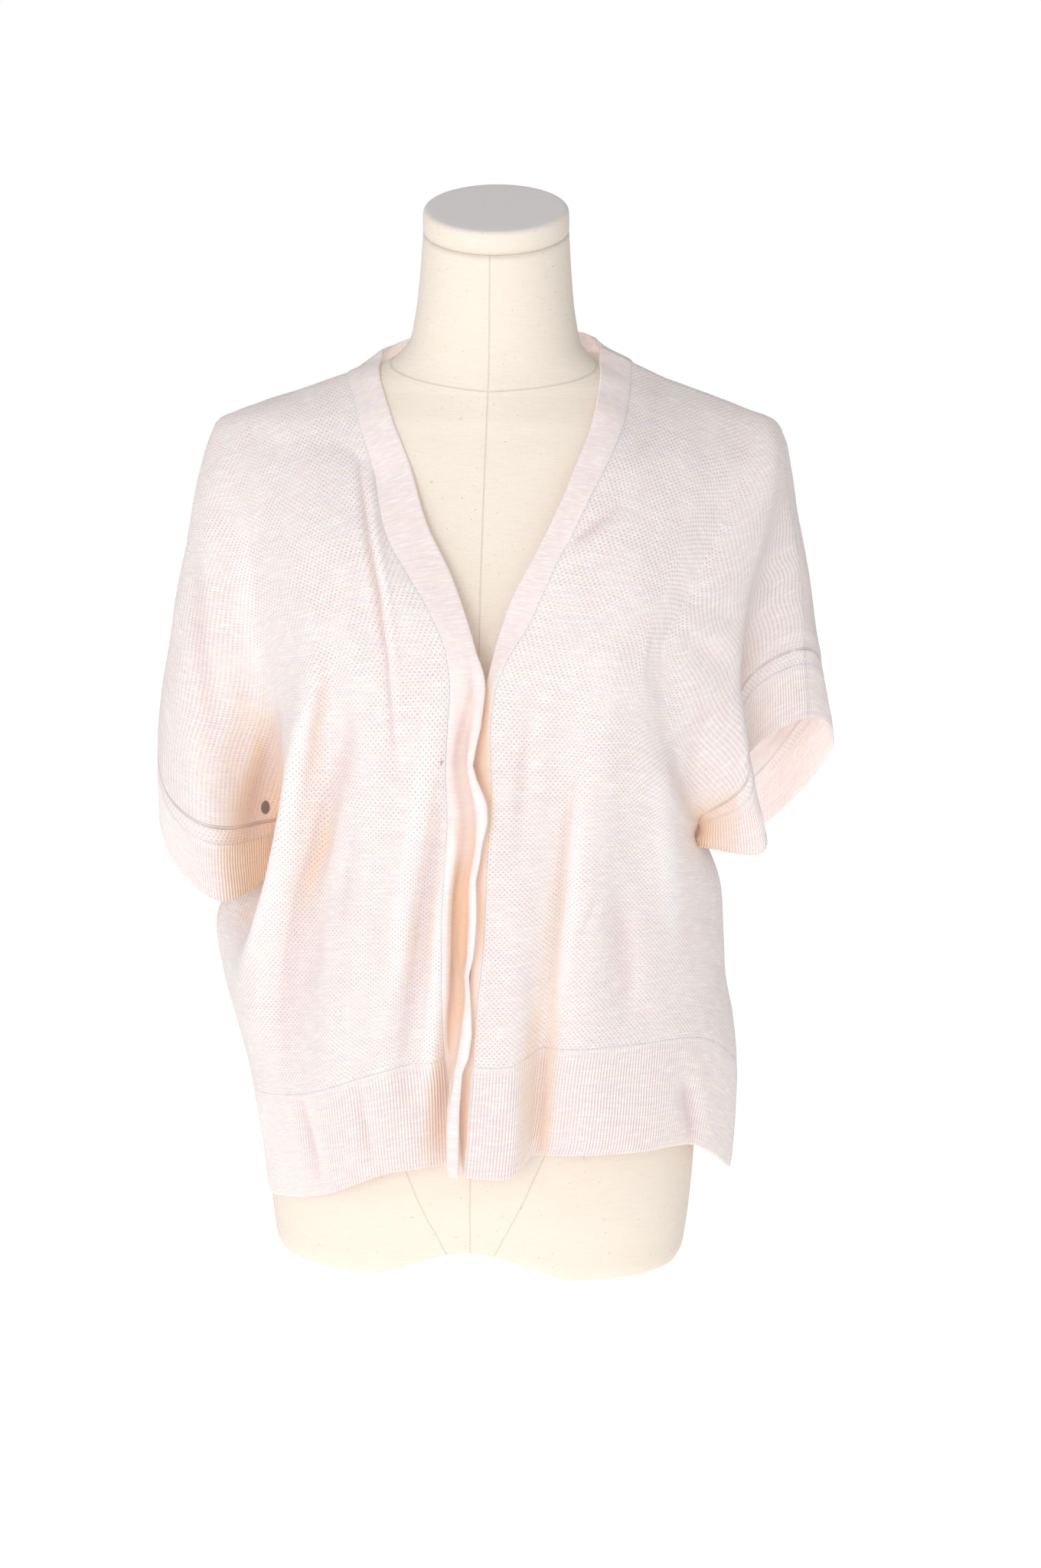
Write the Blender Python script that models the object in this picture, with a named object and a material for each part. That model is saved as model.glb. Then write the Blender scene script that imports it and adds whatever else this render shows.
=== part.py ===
"""Knit cardigan with short dolman sleeves, worn by a limbless dress form.

The wearer faces -Y, the wearer's left hand is on the +X side and the form
stands on Z = 0.  All the cloth follows lines that run from the shoulder
down to the hem.  Each line is one row of a table, in millimetres.
"""

import bpy
import math
from mathutils import Vector
from mathutils.bvhtree import BVHTree

MM = 0.001

# Shift that brings the middle of the whole object over the origin
FRAME_SHIFT = (-0.0032, 0.0053, 0.0)

# Walls, gaps and depths in metres
BODY_HALF = 0.0008
RIB_HALF = 0.0010
BAND_HALF = 0.0013
SEAM_HALF = 0.00017
FORM_CLEARANCE = 0.0009
HEM_DEPTH = 0.082
RIB_RAISE = 0.0006
RIBS_PER_COLUMN = 2

# Dress form
FORM_SIDES = 48
CROTCH_RISE = 0.020
CROTCH_HALF_WIDTH = 0.075
CROTCH_FADE = 0.050
BUST_HALF_SPACING = 0.084
BUST_HEIGHT = 0.452
BUST_DEPTH = 0.037
BUST_RADIUS = 0.037
BUST_BELOW = 0.050
BUST_ABOVE = 0.078
NECK_TILT = math.radians(17.0)
NECK_LEAN = 0.012
NECK_FOOT = 0.660
NECK_TOP = 0.7544
CAP_THICKNESS = 0.017
CAP_HALF_WIDTH = 0.0517
CAP_HALF_DEPTH = 0.0525
CAP_ROUNDING = 0.004
CAP_GAP = 0.0003

# Sections of the dress form, a row for each height, in millimetres:
# height, half width, depth in front, depth behind, squareness
FORM_SECTIONS = (
    (20, 153, 88, 106, 2.5),
    (48, 156, 94, 113, 2.5),
    (90, 158, 97, 116, 2.5),
    (140, 154, 95, 113, 2.5),
    (190, 142, 88, 101, 2.4),
    (240, 124, 81, 85, 2.3),
    (285, 115, 79, 75, 2.2),
    (330, 120, 83, 75, 2.2),
    (375, 131, 92, 81, 2.3),
    (415, 141, 98, 87, 2.4),
    (450, 147, 100, 91, 2.4),
    (485, 150, 98, 94, 2.4),
    (520, 155, 93, 96, 2.3),
    (555, 164, 85, 94, 2.2),
    (583, 175, 78, 88, 2.05),
    (603, 183, 72, 80, 1.9),
    (615, 180, 68, 74, 1.7),
    (624, 167, 66, 70, 1.55),
    (632, 149, 63, 67, 1.45),
    (641, 126, 60, 64, 1.4),
    (649, 105, 58, 61, 1.45),
    (656, 86, 56.5, 59, 1.55),
    (663, 72, 55, 57.5, 1.75),
    (673, 62.5, 53.5, 56, 1.9),
    (692, 57.5, 52.5, 54, 2.0),
    (722, 54, 52.5, 53, 2.0),
    (754.4, 51.7, 52.5, 52.5, 2.0),
)

# Rounded foot of the form: share of the full section, height in millimetres
FOOT_RINGS = (
    (0.988, 9.0),
    (0.965, 2.5),
    (0.935, 0.0),
    (0.80, 0.0),
    (0.62, 0.0),
    (0.42, 0.0),
    (0.20, 0.0),
)

# Steps down a line from the shoulder to the underarm, and on to the hem seam
UPPER_STEPS = (0.0, 0.025, 0.06, 0.10, 0.15, 0.21, 0.28, 0.35, 0.42, 0.50,
               0.58, 0.66, 0.74, 0.83, 0.915, 1.0)
LOWER_STEPS = (0.13, 0.26, 0.39, 0.51, 0.63, 0.75, 0.875, 1.0)
HEM_STEPS = (0.07, 0.55, 1.0)
CUFF_STEPS = (0.14, 1.0)
BAND_COLUMNS = 3
NECK_COLUMNS = 3

# Length of each sleeve between the underarm point and the cuff seam
SLEEVE_END = 0.009

# Lines of the wearer's right side: name, points from the shoulder to the
# underarm level, points from there to the hem edge, each x, y, z
RIGHT_LINES = {
    "edge": (
        ((-81, 8, 666), (-80, -12, 654), (-75, -34, 640), (-67, -52, 622),
         (-53, -75, 594), (-37, -95, 552), (-20, -105, 521), (-11, -112, 500),
         (-2, -119, 475), (5, -126, 448), (3, -131, 418), (0, -134, 391),
         (7, -135, 372), (11, -135, 340)),
        ((5, -134, 318), (1, -133, 290), (0, -133, 250), (-1, -133, 205),
         (-6, -133, 170), (-10, -133, 142), (-11, -135, 93))),
    "seam": (
        ((-104, 6, 649), (-102, -14, 643), (-96, -32, 631), (-90, -46, 616),
         (-80, -68, 592), (-73, -90, 566), (-66, -103, 546), (-50, -114, 521),
         (-36, -121, 500), (-22, -126, 471), (-18, -127, 448), (-19, -126, 416),
         (-20, -125, 388), (-18, -124, 340)),
        ((-19, -125, 305), (-20, -126, 276), (-20, -125, 240), (-20, -123, 210),
         (-19, -119, 180), (-16, -113, 150), (-13, -110, 95))),
    "inner": (
        ((-118, 7, 644), (-114, -14, 638), (-107, -34, 626), (-99, -53, 610),
         (-90, -75, 591), (-81, -98, 560), (-72, -111, 537), (-59, -121, 509),
         (-52, -127, 470), (-47, -130, 430), (-46, -130, 388), (-46, -129, 340)),
        ((-46, -129, 300), (-47, -129, 250), (-52, -128, 205), (-56, -126, 166),
         (-58, -123, 130), (-60, -119, 88))),
    "apex": (
        ((-136, 7, 638), (-132, -14, 632), (-126, -36, 619), (-120, -57, 601),
         (-114, -78, 579), (-107, -97, 552), (-100, -111, 525), (-94, -120, 497),
         (-90, -125, 466), (-84, -125, 430), (-80, -123, 388), (-85, -120, 340)),
        ((-91, -119, 300), (-97, -119, 270), (-100, -119, 230), (-101, -118, 190),
         (-101, -117, 160), (-100, -114, 120), (-98, -108, 70))),
    "furrow": (
        ((-152, 7, 633), (-149, -13, 626), (-144, -34, 613), (-138, -54, 594),
         (-131, -73, 572), (-123, -90, 546), (-114, -104, 519), (-105, -115, 490),
         (-100, -119, 460), (-102, -112, 425), (-104, -107, 388), (-106, -105, 340)),
        ((-108, -104, 300), (-112, -103, 260), (-115, -102, 220), (-118, -101, 186),
         (-119, -100, 158), (-118, -98, 110), (-116, -90, 61))),
    "swag": (
        ((-167, 7, 629), (-165, -12, 621), (-161, -31, 606), (-155, -49, 588),
         (-148, -65, 566), (-139, -81, 542), (-129, -96, 516), (-118, -110, 490),
         (-112, -119, 460), (-120, -120, 422), (-130, -116, 383), (-138, -108, 340)),
        ((-148, -100, 297), (-158, -90, 262), (-167, -78, 235), (-170, -68, 205),
         (-163, -66, 170), (-154, -65, 140), (-147, -60, 100), (-140, -55, 50))),
    "hollow": (
        ((-174, 7, 626), (-173, -11, 618), (-170, -28, 602), (-166, -45, 583),
         (-161, -59, 560), (-154, -72, 534), (-148, -82, 507), (-143, -88, 478),
         (-141, -90, 450), (-140, -88, 420), (-138, -78, 385), (-134, -60, 338)),
        ((-130, -50, 305), (-134, -44, 278), (-154, -41, 256), (-178, -36, 236),
         (-184, -32, 205),
         (-176, -34, 170), (-168, -34, 140), (-160, -33, 98), (-150, -32, 45))),
    "side": (
        ((-180, 7, 624), (-180, -10, 616), (-178, -26, 599), (-175, -41, 578),
         (-172, -53, 553), (-169, -61, 525), (-167, -66, 497), (-165, -66, 468),
         (-162, -62, 440), (-159, -54, 410), (-155, -42, 378), (-149, -27, 348),
         (-146, -15, 325)),
        ((-138, -3, 303), (-141, 7, 286), (-166, 13, 274), (-188, 13, 265),
         (-198, 13, 255),
         (-201, 11, 243), (-200, 8, 228), (-195, 3, 207), (-188, 0, 185), (-179, -3, 156),
         (-172, -5, 133), (-166, -8, 99), (-160, -10, 64), (-156, -12, 40))),
    "fold": (
        ((-190, 7, 619), (-191, -7, 612), (-193, -21, 596), (-196, -34, 575),
         (-199, -43, 550), (-202, -50, 520), (-204, -56, 490), (-205, -60, 455),
         (-205, -62, 420), (-204, -63, 385), (-201, -63, 350), (-196, -62, 316)),
        ((-188, -60, 271),)),
    "tuck": (
        ((-197, 6, 616), (-201, -3, 606), (-206, -12, 589), (-211, -20, 567),
         (-215, -26, 540), (-220, -31, 505), (-225, -34, 465), (-230, -36, 425),
         (-232, -38, 385), (-229, -38, 333)),
        ((-222, -36, 289),)),
    "outer": (
        ((-201, 5, 612), (-207, 3, 597), (-213, 2, 574), (-218, 1, 540),
         (-225, 0, 506), (-232, 0, 461), (-239, 0, 427), (-243, 0, 381),
         (-244, 0, 365)),
        ((-242, 0, 320),)),
    "back tuck": (
        ((-197, 6, 616), (-206, 14, 599), (-213, 20, 574), (-218, 25, 540),
         (-225, 30, 505), (-231, 34, 461), (-237, 37, 420), (-240, 40, 358)),
        ((-236, 40, 314),)),
    "back fold": (
        ((-190, 7, 619), (-199, 24, 605), (-204, 38, 582), (-208, 50, 552),
         (-212, 58, 515), (-214, 64, 475), (-215, 67, 430), (-214, 68, 385),
         (-211, 66, 338)),
        ((-205, 60, 294),)),
    "back side": (
        ((-180, 7, 624), (-184, 28, 611), (-185, 46, 589), (-183, 60, 562),
         (-180, 70, 530), (-177, 75, 495), (-174, 74, 460), (-168, 66, 425),
         (-161, 50, 395), (-154, 28, 365), (-148, 4, 343), (-146, -15, 325)),
        ()),
    "back arm": (
        ((-167, 8, 629), (-168, 30, 618), (-166, 50, 597), (-162, 66, 568),
         (-157, 77, 533), (-152, 84, 495), (-148, 87, 455), (-146, 87, 415),
         (-144, 84, 375), (-140, 80, 333)),
        ((-140, 76, 300), (-149, 74, 267), (-163, 76, 235), (-162, 80, 200),
         (-157, 84, 165), (-153, 86, 130), (-149, 86, 90), (-146, 84, 48))),
    "blade": (
        ((-130, 8, 641), (-130, 30, 632), (-126, 52, 611), (-119, 72, 580),
         (-111, 86, 545), (-103, 94, 508), (-97, 98, 470), (-93, 99, 430),
         (-91, 98, 390), (-90, 97, 338)),
        ((-91, 97, 300), (-94, 99, 260), (-97, 104, 220), (-99, 110, 185),
         (-101, 115, 150), (-101, 119, 110), (-100, 118, 54))),
    "back neck": (
        ((-104, 6, 649), (-101, 28, 643), (-93, 48, 629), (-81, 66, 607),
         (-68, 80, 578), (-58, 91, 543), (-52, 98, 506), (-49, 102, 468),
         (-47, 104, 430), (-46, 104, 390), (-45, 103, 344)),
        ((-45, 103, 300), (-45, 105, 260), (-47, 110, 220), (-49, 116, 185),
         (-50, 121, 150), (-50, 125, 110), (-50, 124, 57))),
}

# Lines of the wearer's left side, in the same manner
LEFT_LINES = {
    "edge": (
        ((74, 10, 673), (75, -12, 660), (76, -36, 645), (75, -54, 633),
         (71, -67, 616), (65, -80, 600), (54, -96, 570), (39, -106, 538),
         (24, -113, 507), (14, -118, 475), (8, -121, 448), (0, -116, 420),
         (-7, -110, 395), (-10, -108, 370)),
        ((-10, -106, 330), (-9, -104, 280), (-8, -104, 220), (-8, -105, 160),
         (-4, -109, 93))),
    "seam": (
        ((97, 8, 663), (98, -12, 651), (98, -36, 637), (96, -58, 624),
         (88, -84, 602), (76, -102, 577), (64, -112, 551), (56, -117, 535),
         (47, -121, 514), (36, -125, 488), (23, -128, 466), (15, -128, 446),
         (12, -128, 425), (13, -128, 370)),
        ((12, -128, 336), (11, -128, 308), (9, -128, 253), (5, -130, 198),
         (2, -132, 142), (-1, -136, 93))),
    "inner": (
        ((110, 8, 657), (109, -14, 647), (107, -38, 634), (104, -59, 619),
         (98, -80, 602), (90, -97, 577), (82, -109, 551), (76, -115, 531),
         (66, -122, 505), (55, -127, 480), (44, -129, 455), (37, -128, 425),
         (35, -127, 395), (34, -127, 370)),
        ((33, -127, 336), (31, -128, 300), (30, -129, 253), (30, -131, 198),
         (30, -132, 142), (31, -135, 94))),
    "furrow": (
        ((125, 8, 651), (124, -14, 641), (122, -36, 628), (119, -57, 611),
         (113, -76, 595), (106, -93, 572), (100, -105, 550), (95, -113, 528),
         (88, -120, 503), (79, -125, 477), (72, -125, 450), (69, -123, 420),
         (67, -121, 391), (65, -120, 370)),
        ((63, -119, 336), (58, -117, 280), (54, -115, 224), (49, -111, 167),
         (46, -110, 104))),
    "apex": (
        ((141, 8, 646), (140, -13, 636), (138, -34, 623), (135, -53, 607),
         (130, -71, 588), (125, -87, 566), (119, -100, 543), (113, -110, 521),
         (105, -118, 496), (97, -124, 470), (91, -127, 440), (86, -128, 415),
         (82, -128, 392), (81, -128, 370)),
        ((80, -128, 338), (78, -128, 283), (72, -127, 227), (67, -124, 170),
         (63, -119, 107))),
    "swag": (
        ((158, 8, 640), (157, -12, 631), (155, -31, 616), (152, -48, 600),
         (148, -64, 582), (142, -79, 560), (136, -91, 537), (129, -101, 514),
         (120, -111, 490), (114, -116, 465), (111, -117, 440), (110, -117, 415),
         (108, -117, 392), (105, -117, 370)),
        ((103, -115, 336), (104, -112, 300), (106, -110, 252), (110, -108, 200),
         (112, -107, 150), (113, -105, 107))),
    "hollow": (
        ((172, 8, 635), (172, -10, 626), (170, -27, 612), (167, -43, 597),
         (162, -58, 577), (154, -73, 555), (146, -86, 532), (137, -97, 509),
         (127, -106, 488), (120, -111, 468), (121, -110, 443), (124, -107, 418),
         (129, -103, 396), (136, -98, 370), (140, -91, 355)),
        ((145, -82, 336), (150, -74, 312), (156, -64, 280), (160, -60, 240),
         (163, -58, 200), (162, -60, 150), (157, -62, 102))),
    "side": (
        ((183, 8, 631), (185, -9, 621), (184, -24, 608), (180, -39, 593),
         (173, -54, 573), (165, -68, 552), (155, -81, 530), (144, -92, 508),
         (134, -101, 488), (128, -104, 470), (130, -101, 445), (135, -96, 420),
         (142, -85, 393), (150, -68, 367), (158, -49, 342)),
        ((154, -33, 326), (160, -17, 313), (168, -5, 299), (172, 0, 284),
         (175, 2, 246), (178, 3, 211), (183, 3, 188), (187, 2, 159),
         (188, 1, 124), (187, 0, 95), (184, 0, 69))),
    "fold": (
        ((194, 8, 627), (198, -5, 619), (203, -16, 609), (203, -27, 597),
         (201, -37, 576), (196, -46, 553), (190, -54, 527), (182, -61, 497),
         (180, -65, 465), (182, -67, 430), (188, -69, 395), (196, -70, 367)),
        ((204, -68, 323),)),
    "tuck": (
        ((201, 7, 623), (205, -2, 614), (208, -9, 602), (208, -15, 585),
         (205, -21, 560), (198, -28, 533), (190, -34, 505), (182, -38, 478),
         (179, -40, 452), (180, -40, 427)),
        ((187, -36, 382),)),
    "outer": (
        ((205, 5, 618), (208, 1, 606), (210, -1, 590), (216, -4, 553),
         (223, -7, 515), (228, -9, 471), (230, -10, 456)),
        ((232, -10, 411),)),
    "back tuck": (
        ((201, 7, 623), (208, 14, 609), (213, 18, 590), (218, 22, 560),
         (224, 26, 530), (232, 30, 490), (239, 34, 449), (245, 38, 425)),
        ((251, 40, 380),)),
    "back fold": (
        ((194, 8, 627), (202, 22, 611), (207, 36, 590), (210, 48, 560),
         (213, 57, 528), (215, 63, 495), (216, 67, 460), (217, 68, 425),
         (217, 64, 372)),
        ((213, 52, 328),)),
    "back side": (
        ((183, 8, 631), (186, 26, 617), (186, 44, 599), (184, 58, 577),
         (181, 68, 550), (178, 74, 520), (175, 74, 490), (172, 66, 460),
         (169, 50, 428), (166, 22, 396), (161, -14, 366), (158, -49, 342)),
        ()),
    "back arm": (
        ((168, 8, 636), (170, 28, 624), (168, 48, 604), (164, 64, 577),
         (158, 76, 544), (152, 83, 508), (147, 86, 470), (144, 85, 430),
         (142, 79, 395), (141, 72, 366)),
        ((141, 66, 330), (143, 66, 280), (147, 70, 230), (150, 76, 190),
         (152, 82, 150), (152, 85, 110), (150, 84, 67))),
    "blade": (
        ((126, 8, 650), (127, 30, 640), (124, 52, 618), (117, 72, 590),
         (109, 87, 553), (102, 95, 515), (97, 99, 470), (93, 100, 430),
         (91, 99, 395), (90, 97, 366)),
        ((90, 96, 330), (91, 97, 280), (94, 102, 230), (97, 109, 190),
         (99, 115, 150), (100, 119, 110), (99, 118, 63))),
    "back neck": (
        ((97, 8, 663), (95, 30, 654), (88, 49, 639), (78, 67, 614),
         (66, 82, 584), (58, 92, 547), (52, 98, 509), (49, 102, 468),
         (47, 104, 430), (46, 104, 395), (45, 103, 364)),
        ((45, 102, 330), (45, 105, 280), (46, 110, 230), (48, 116, 190),
         (49, 121, 150), (50, 125, 110), (50, 124, 60))),
}

# Centre of the back, in the same manner
CENTRE_BACK = (
    ((0, 64, 660), (0, 73, 638), (0, 82, 610), (0, 90, 575), (0, 97, 540),
     (0, 101, 505), (0, 103, 468), (0, 105, 430), (0, 105, 395), (0, 105, 356)),
    ((0, 104, 320), (0, 105, 280), (0, 109, 235), (0, 115, 190), (0, 120, 150),
     (0, 124, 110), (0, 123, 58)))

# Top edge of the neck band behind the neck: x, y, z
NECK_EDGE = ((-81, 8, 666), (-71, 27, 671), (-46, 48, 678), (0, 60, 682),
             (46, 48, 681), (66, 28, 679), (74, 10, 673))

# Order of the lines round each side, with the columns up to the next line
RIGHT_FRONT = (("seam", 2), ("inner", 2), ("apex", 1), ("furrow", 2),
               ("swag", 2), ("hollow", 1))
LEFT_FRONT = (("seam", 1), ("inner", 2), ("furrow", 1), ("apex", 2),
              ("swag", 2), ("hollow", 2))
SLEEVE_FRONT = (("side", 3), ("fold", 2), ("tuck", 2))
SLEEVE_BACK = (("outer", 2), ("back tuck", 2), ("back fold", 3))
BODY_BACK = (("back side", 3), ("back arm", 4), ("blade", 3))
SLEEVE_LINES = ("fold", "tuck", "outer", "back tuck", "back fold")

# Falls of the band between its edge and its seam: height, depth, millimetres
BAND_FALL = {
    "right": ((700, 0), (455, 0), (415, 5), (360, 8), (300, 11), (250, 13),
              (200, 12), (150, 5), (90, 1)),
    "left": ((700, 0), (455, 0), (425, 1), (380, 2), (90, 2)),
}

# Smaller creases: side, start x and z, end x and z, half width, depth.
# A positive depth goes in, a negative one stands out.
CREASES = (
    ("right", (-98, 615), (-56, 372), 11, 4.5),
    ("right", (-33, 330), (-42, 95), 9, 5.0),
    ("left", (136, 602), (70, 548), 12, 6.0),
    ("left", (162, 578), (62, 527), 13, 3.0),
    ("left", (150, 160), (156, 92), 10, 4.0),
    ("right", (-85, 160), (-56, 84), 10, 3.0),
)

# Under side of each cuff in millimetres: where its seam begins, where it ends
CUFF_CORNERS = {
    "right": ((-150, -17, 314), (-151, -22, 286)),
    "left": ((162, -46, 336), (167, -43, 320)),
}


def vectors(points):
    """Table points as vectors in metres."""
    return [Vector(p) * MM for p in points]


class Path:
    """Smooth curve through points, read at a distance along its chords."""

    def __init__(self, points):
        self.points = points
        self.at = [0.0]
        for a, b in zip(points, points[1:]):
            self.at.append(self.at[-1] + max((b - a).length, 1e-6))
        self.length = self.at[-1]
        self.slopes = [self.slope(i) for i in range(len(points))]

    def slope(self, i):
        p, t = self.points, self.at
        if len(p) < 3:
            return (p[-1] - p[0]) / self.length
        if i == 0:
            return (p[1] - p[0]) / (t[1] - t[0])
        if i == len(p) - 1:
            return (p[-1] - p[-2]) / (t[-1] - t[-2])
        before = t[i] - t[i - 1]
        after = t[i + 1] - t[i]
        incoming = (p[i] - p[i - 1]) / before
        outgoing = (p[i + 1] - p[i]) / after
        return (incoming * after + outgoing * before) / (before + after)

    def read(self, distance):
        t = self.at
        k = 0
        while k < len(t) - 2 and distance > t[k + 1]:
            k += 1
        span = t[k + 1] - t[k]
        u = min(max((distance - t[k]) / span, 0.0), 1.0)
        u2 = u * u
        u3 = u2 * u
        return (self.points[k] * (2 * u3 - 3 * u2 + 1)
                + self.slopes[k] * (span * (u3 - 2 * u2 + u))
                + self.points[k + 1] * (3 * u2 - 2 * u3)
                + self.slopes[k + 1] * (span * (u3 - u2)))

    def at_point(self, index):
        return self.at[index]


def table_value(table, x):
    """Linear reading of a short table with falling first column."""
    if x >= table[0][0]:
        return table[0][1]
    for (x0, v0), (x1, v1) in zip(table, table[1:]):
        if x >= x1:
            return v0 + (v1 - v0) * (x - x0) / (x1 - x0)
    return table[-1][1]


# Dress form

def form_ring(height, width, front, behind, squareness):
    """Points round one section of the form."""
    power = 2.0 / squareness
    rise = max(0.0, (height - NECK_FOOT) / (NECK_TOP - NECK_FOOT))
    tilt = math.tan(NECK_TILT) * rise * rise * (3.0 - 2.0 * min(rise, 1.0))
    ring = []
    for i in range(FORM_SIDES):
        a = 2.0 * math.pi * (i + 0.5) / FORM_SIDES
        c, s = math.cos(a), math.sin(a)
        x = width * math.copysign(abs(c) ** power, c)
        depth = behind if s > 0 else front
        y = depth * math.copysign(abs(s) ** power, s)
        if s < 0:
            y -= bust(x, height) * abs(s) ** 0.5
        z = height + tilt * y
        z += arch(x, height)
        ring.append(Vector((x, y - NECK_LEAN * rise, z)))
    return ring


def bust(x, z):
    """Fullness of the front at the bust."""
    side = abs(x) - BUST_HALF_SPACING
    spread = BUST_RADIUS if side > 0 else BUST_RADIUS * 1.25
    reach = BUST_ABOVE if z > BUST_HEIGHT else BUST_BELOW
    across = math.exp(-(side / spread) ** 2)
    up = math.exp(-((z - BUST_HEIGHT) / reach) ** 2)
    return BUST_DEPTH * across * up


def arch(x, height):
    """Rise of the underside between the two thighs, less further up."""
    u = abs(x) / CROTCH_HALF_WIDTH
    if u >= 1.0:
        return 0.0
    share = max(0.0, 1.0 - height / CROTCH_FADE)
    return CROTCH_RISE * share * math.cos(0.5 * math.pi * u) ** 1.5


def stacked_rings(name, rings, foot, top):
    """Closed solid through rings from the bottom up, with end points."""
    vertices = [foot]
    for ring in rings:
        vertices.extend(ring)
    vertices.append(top)
    n = len(rings[0])
    faces = []
    for i in range(n):
        j = (i + 1) % n
        faces.append((0, 1 + j, 1 + i))
        for k in range(len(rings) - 1):
            a = 1 + k * n
            b = a + n
            faces.append((a + i, a + j, b + j, b + i))
        last = 1 + (len(rings) - 1) * n
        faces.append((last + i, last + j, len(vertices) - 1))
    return make_object(name, vertices, faces)


def make_form():
    rings = []
    _, width, front, behind, squareness = FORM_SECTIONS[0]
    for share, height in reversed(FOOT_RINGS):
        ring = []
        full = form_ring(FORM_SECTIONS[0][0] * MM, width * MM, front * MM,
                         behind * MM, squareness)
        for p in full:
            x = p.x * share
            y = p.y * share
            z = height * MM + arch(x, height * MM)
            ring.append(Vector((x, y, z)))
        rings.append(ring)
    for height, width, front, behind, squareness in FORM_SECTIONS:
        rings.append(form_ring(height * MM, width * MM, front * MM,
                               behind * MM, squareness))
    top = sum(rings[-1], Vector()) / len(rings[-1])
    foot = Vector((0.0, sum(p.y for p in rings[0]) / len(rings[0]), CROTCH_RISE))
    return stacked_rings("dress_form", rings, foot, top)


def make_cap():
    """Flat tilted lid that closes the neck."""
    up = Vector((0.0, -math.sin(NECK_TILT), math.cos(NECK_TILT)))
    ahead = Vector((0.0, -math.cos(NECK_TILT), -math.sin(NECK_TILT)))
    base = Vector((0.0, -NECK_LEAN, NECK_TOP)) + up * CAP_GAP
    profile = [(0.96, 0.0), (1.0, 0.0012), (1.0, CAP_THICKNESS - CAP_ROUNDING)]
    for k in range(1, 4):
        a = 0.5 * math.pi * k / 3
        inset = CAP_ROUNDING * (1.0 - math.cos(a)) / CAP_HALF_WIDTH
        profile.append((1.0 - inset,
                        CAP_THICKNESS - CAP_ROUNDING * (1.0 - math.sin(a))))
    rings = []
    for share, lift in profile:
        ring = []
        for i in range(FORM_SIDES):
            a = 2.0 * math.pi * (i + 0.5) / FORM_SIDES
            ring.append(base + up * lift
                        + Vector((1.0, 0.0, 0.0)) * (math.cos(a) * CAP_HALF_WIDTH * share)
                        - ahead * (math.sin(a) * CAP_HALF_DEPTH * share))
        rings.append(ring)
    return stacked_rings("neck_cap", rings, base, base + up * CAP_THICKNESS)


# Cloth

class Cloth:
    """All the cloth as one sheet of shared points, cut into named pieces."""

    def __init__(self):
        self.points = []
        self.pieces = {}

    def add(self, point):
        self.points.append(point.copy())
        return len(self.points) - 1

    def face(self, piece, quad):
        self.pieces.setdefault(piece, []).append(quad)

    def strip(self, piece, rows, first, last):
        """Faces between rows of point numbers, columns first to last."""
        for upper, lower in zip(rows, rows[1:]):
            for c in range(first, last):
                self.face(piece, (upper[c], upper[c + 1], lower[c + 1], lower[c]))


def line_paths(lines, name):
    upper, lower = lines[name]
    points = vectors(upper)
    whole = Path(points + vectors(lower)) if lower else Path(points)
    return whole, whole.at_point(len(points) - 1)


def down_points(lines, name):
    """Points of one line: upper rows, lower rows with the hem rows."""
    whole, under = line_paths(lines, name)
    if name in SLEEVE_LINES:
        under -= SLEEVE_END
        return [whole.read(under * s) for s in UPPER_STEPS], []
    upper = [whole.read(under * s) for s in UPPER_STEPS]
    lower = []
    if lines[name][1]:
        seam = whole.length - HEM_DEPTH
        lower = [whole.read(under + (seam - under) * s) for s in LOWER_STEPS]
        lower += [whole.read(seam + HEM_DEPTH * s) for s in HEM_STEPS]
    return upper, lower


def across(knots, counts):
    """Points through the knots with the given columns between them."""
    path = Path(knots)
    row = [knots[0].copy()]
    for k, count in enumerate(counts):
        a, b = path.at[k], path.at[k + 1]
        for i in range(1, count + 1):
            row.append(path.read(a + (b - a) * i / count))
    return row


def crease_shift(side, point):
    """Depth of the small creases at a point of the front."""
    total = 0.0
    for where, start, end, half_width, depth in CREASES:
        if where != side:
            continue
        ax, az = start[0] * MM, start[1] * MM
        bx, bz = end[0] * MM, end[1] * MM
        dx, dz = bx - ax, bz - az
        length = math.hypot(dx, dz)
        s = ((point.x - ax) * dx + (point.z - az) * dz) / length ** 2
        if not 0.0 < s < 1.0:
            continue
        off = ((point.x - ax) * dz - (point.z - az) * dx) / length
        ends = math.sin(math.pi * s) ** 0.5
        total += depth * MM * ends * math.exp(-(off / (half_width * MM)) ** 2)
    return total


def band_points(lines, side):
    """Rows of the front band from its free edge to its seam."""
    edge_upper, edge_lower = down_points(lines, "edge")
    seam_upper, seam_lower = down_points(lines, "seam")
    rows = []
    for e, s in zip(edge_upper + edge_lower, seam_upper + seam_lower):
        row = []
        fall = table_value(BAND_FALL[side], s.z / MM) * MM
        for k in range(BAND_COLUMNS + 1):
            u = k / BAND_COLUMNS
            p = e.lerp(s, u)
            p.y += fall * math.sin(math.pi * u)
            row.append(p)
        rows.append(row)
    return rows


def side_rows(lines, front):
    """Lines, columns and points of one side, from its front seam to the neck."""
    names = [n for n, _ in front + SLEEVE_FRONT + SLEEVE_BACK + BODY_BACK]
    names.append("back neck")
    counts = [c for _, c in front + SLEEVE_FRONT + SLEEVE_BACK + BODY_BACK]
    downs = {n: down_points(lines, n) for n in names}
    return names, counts, downs


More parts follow.
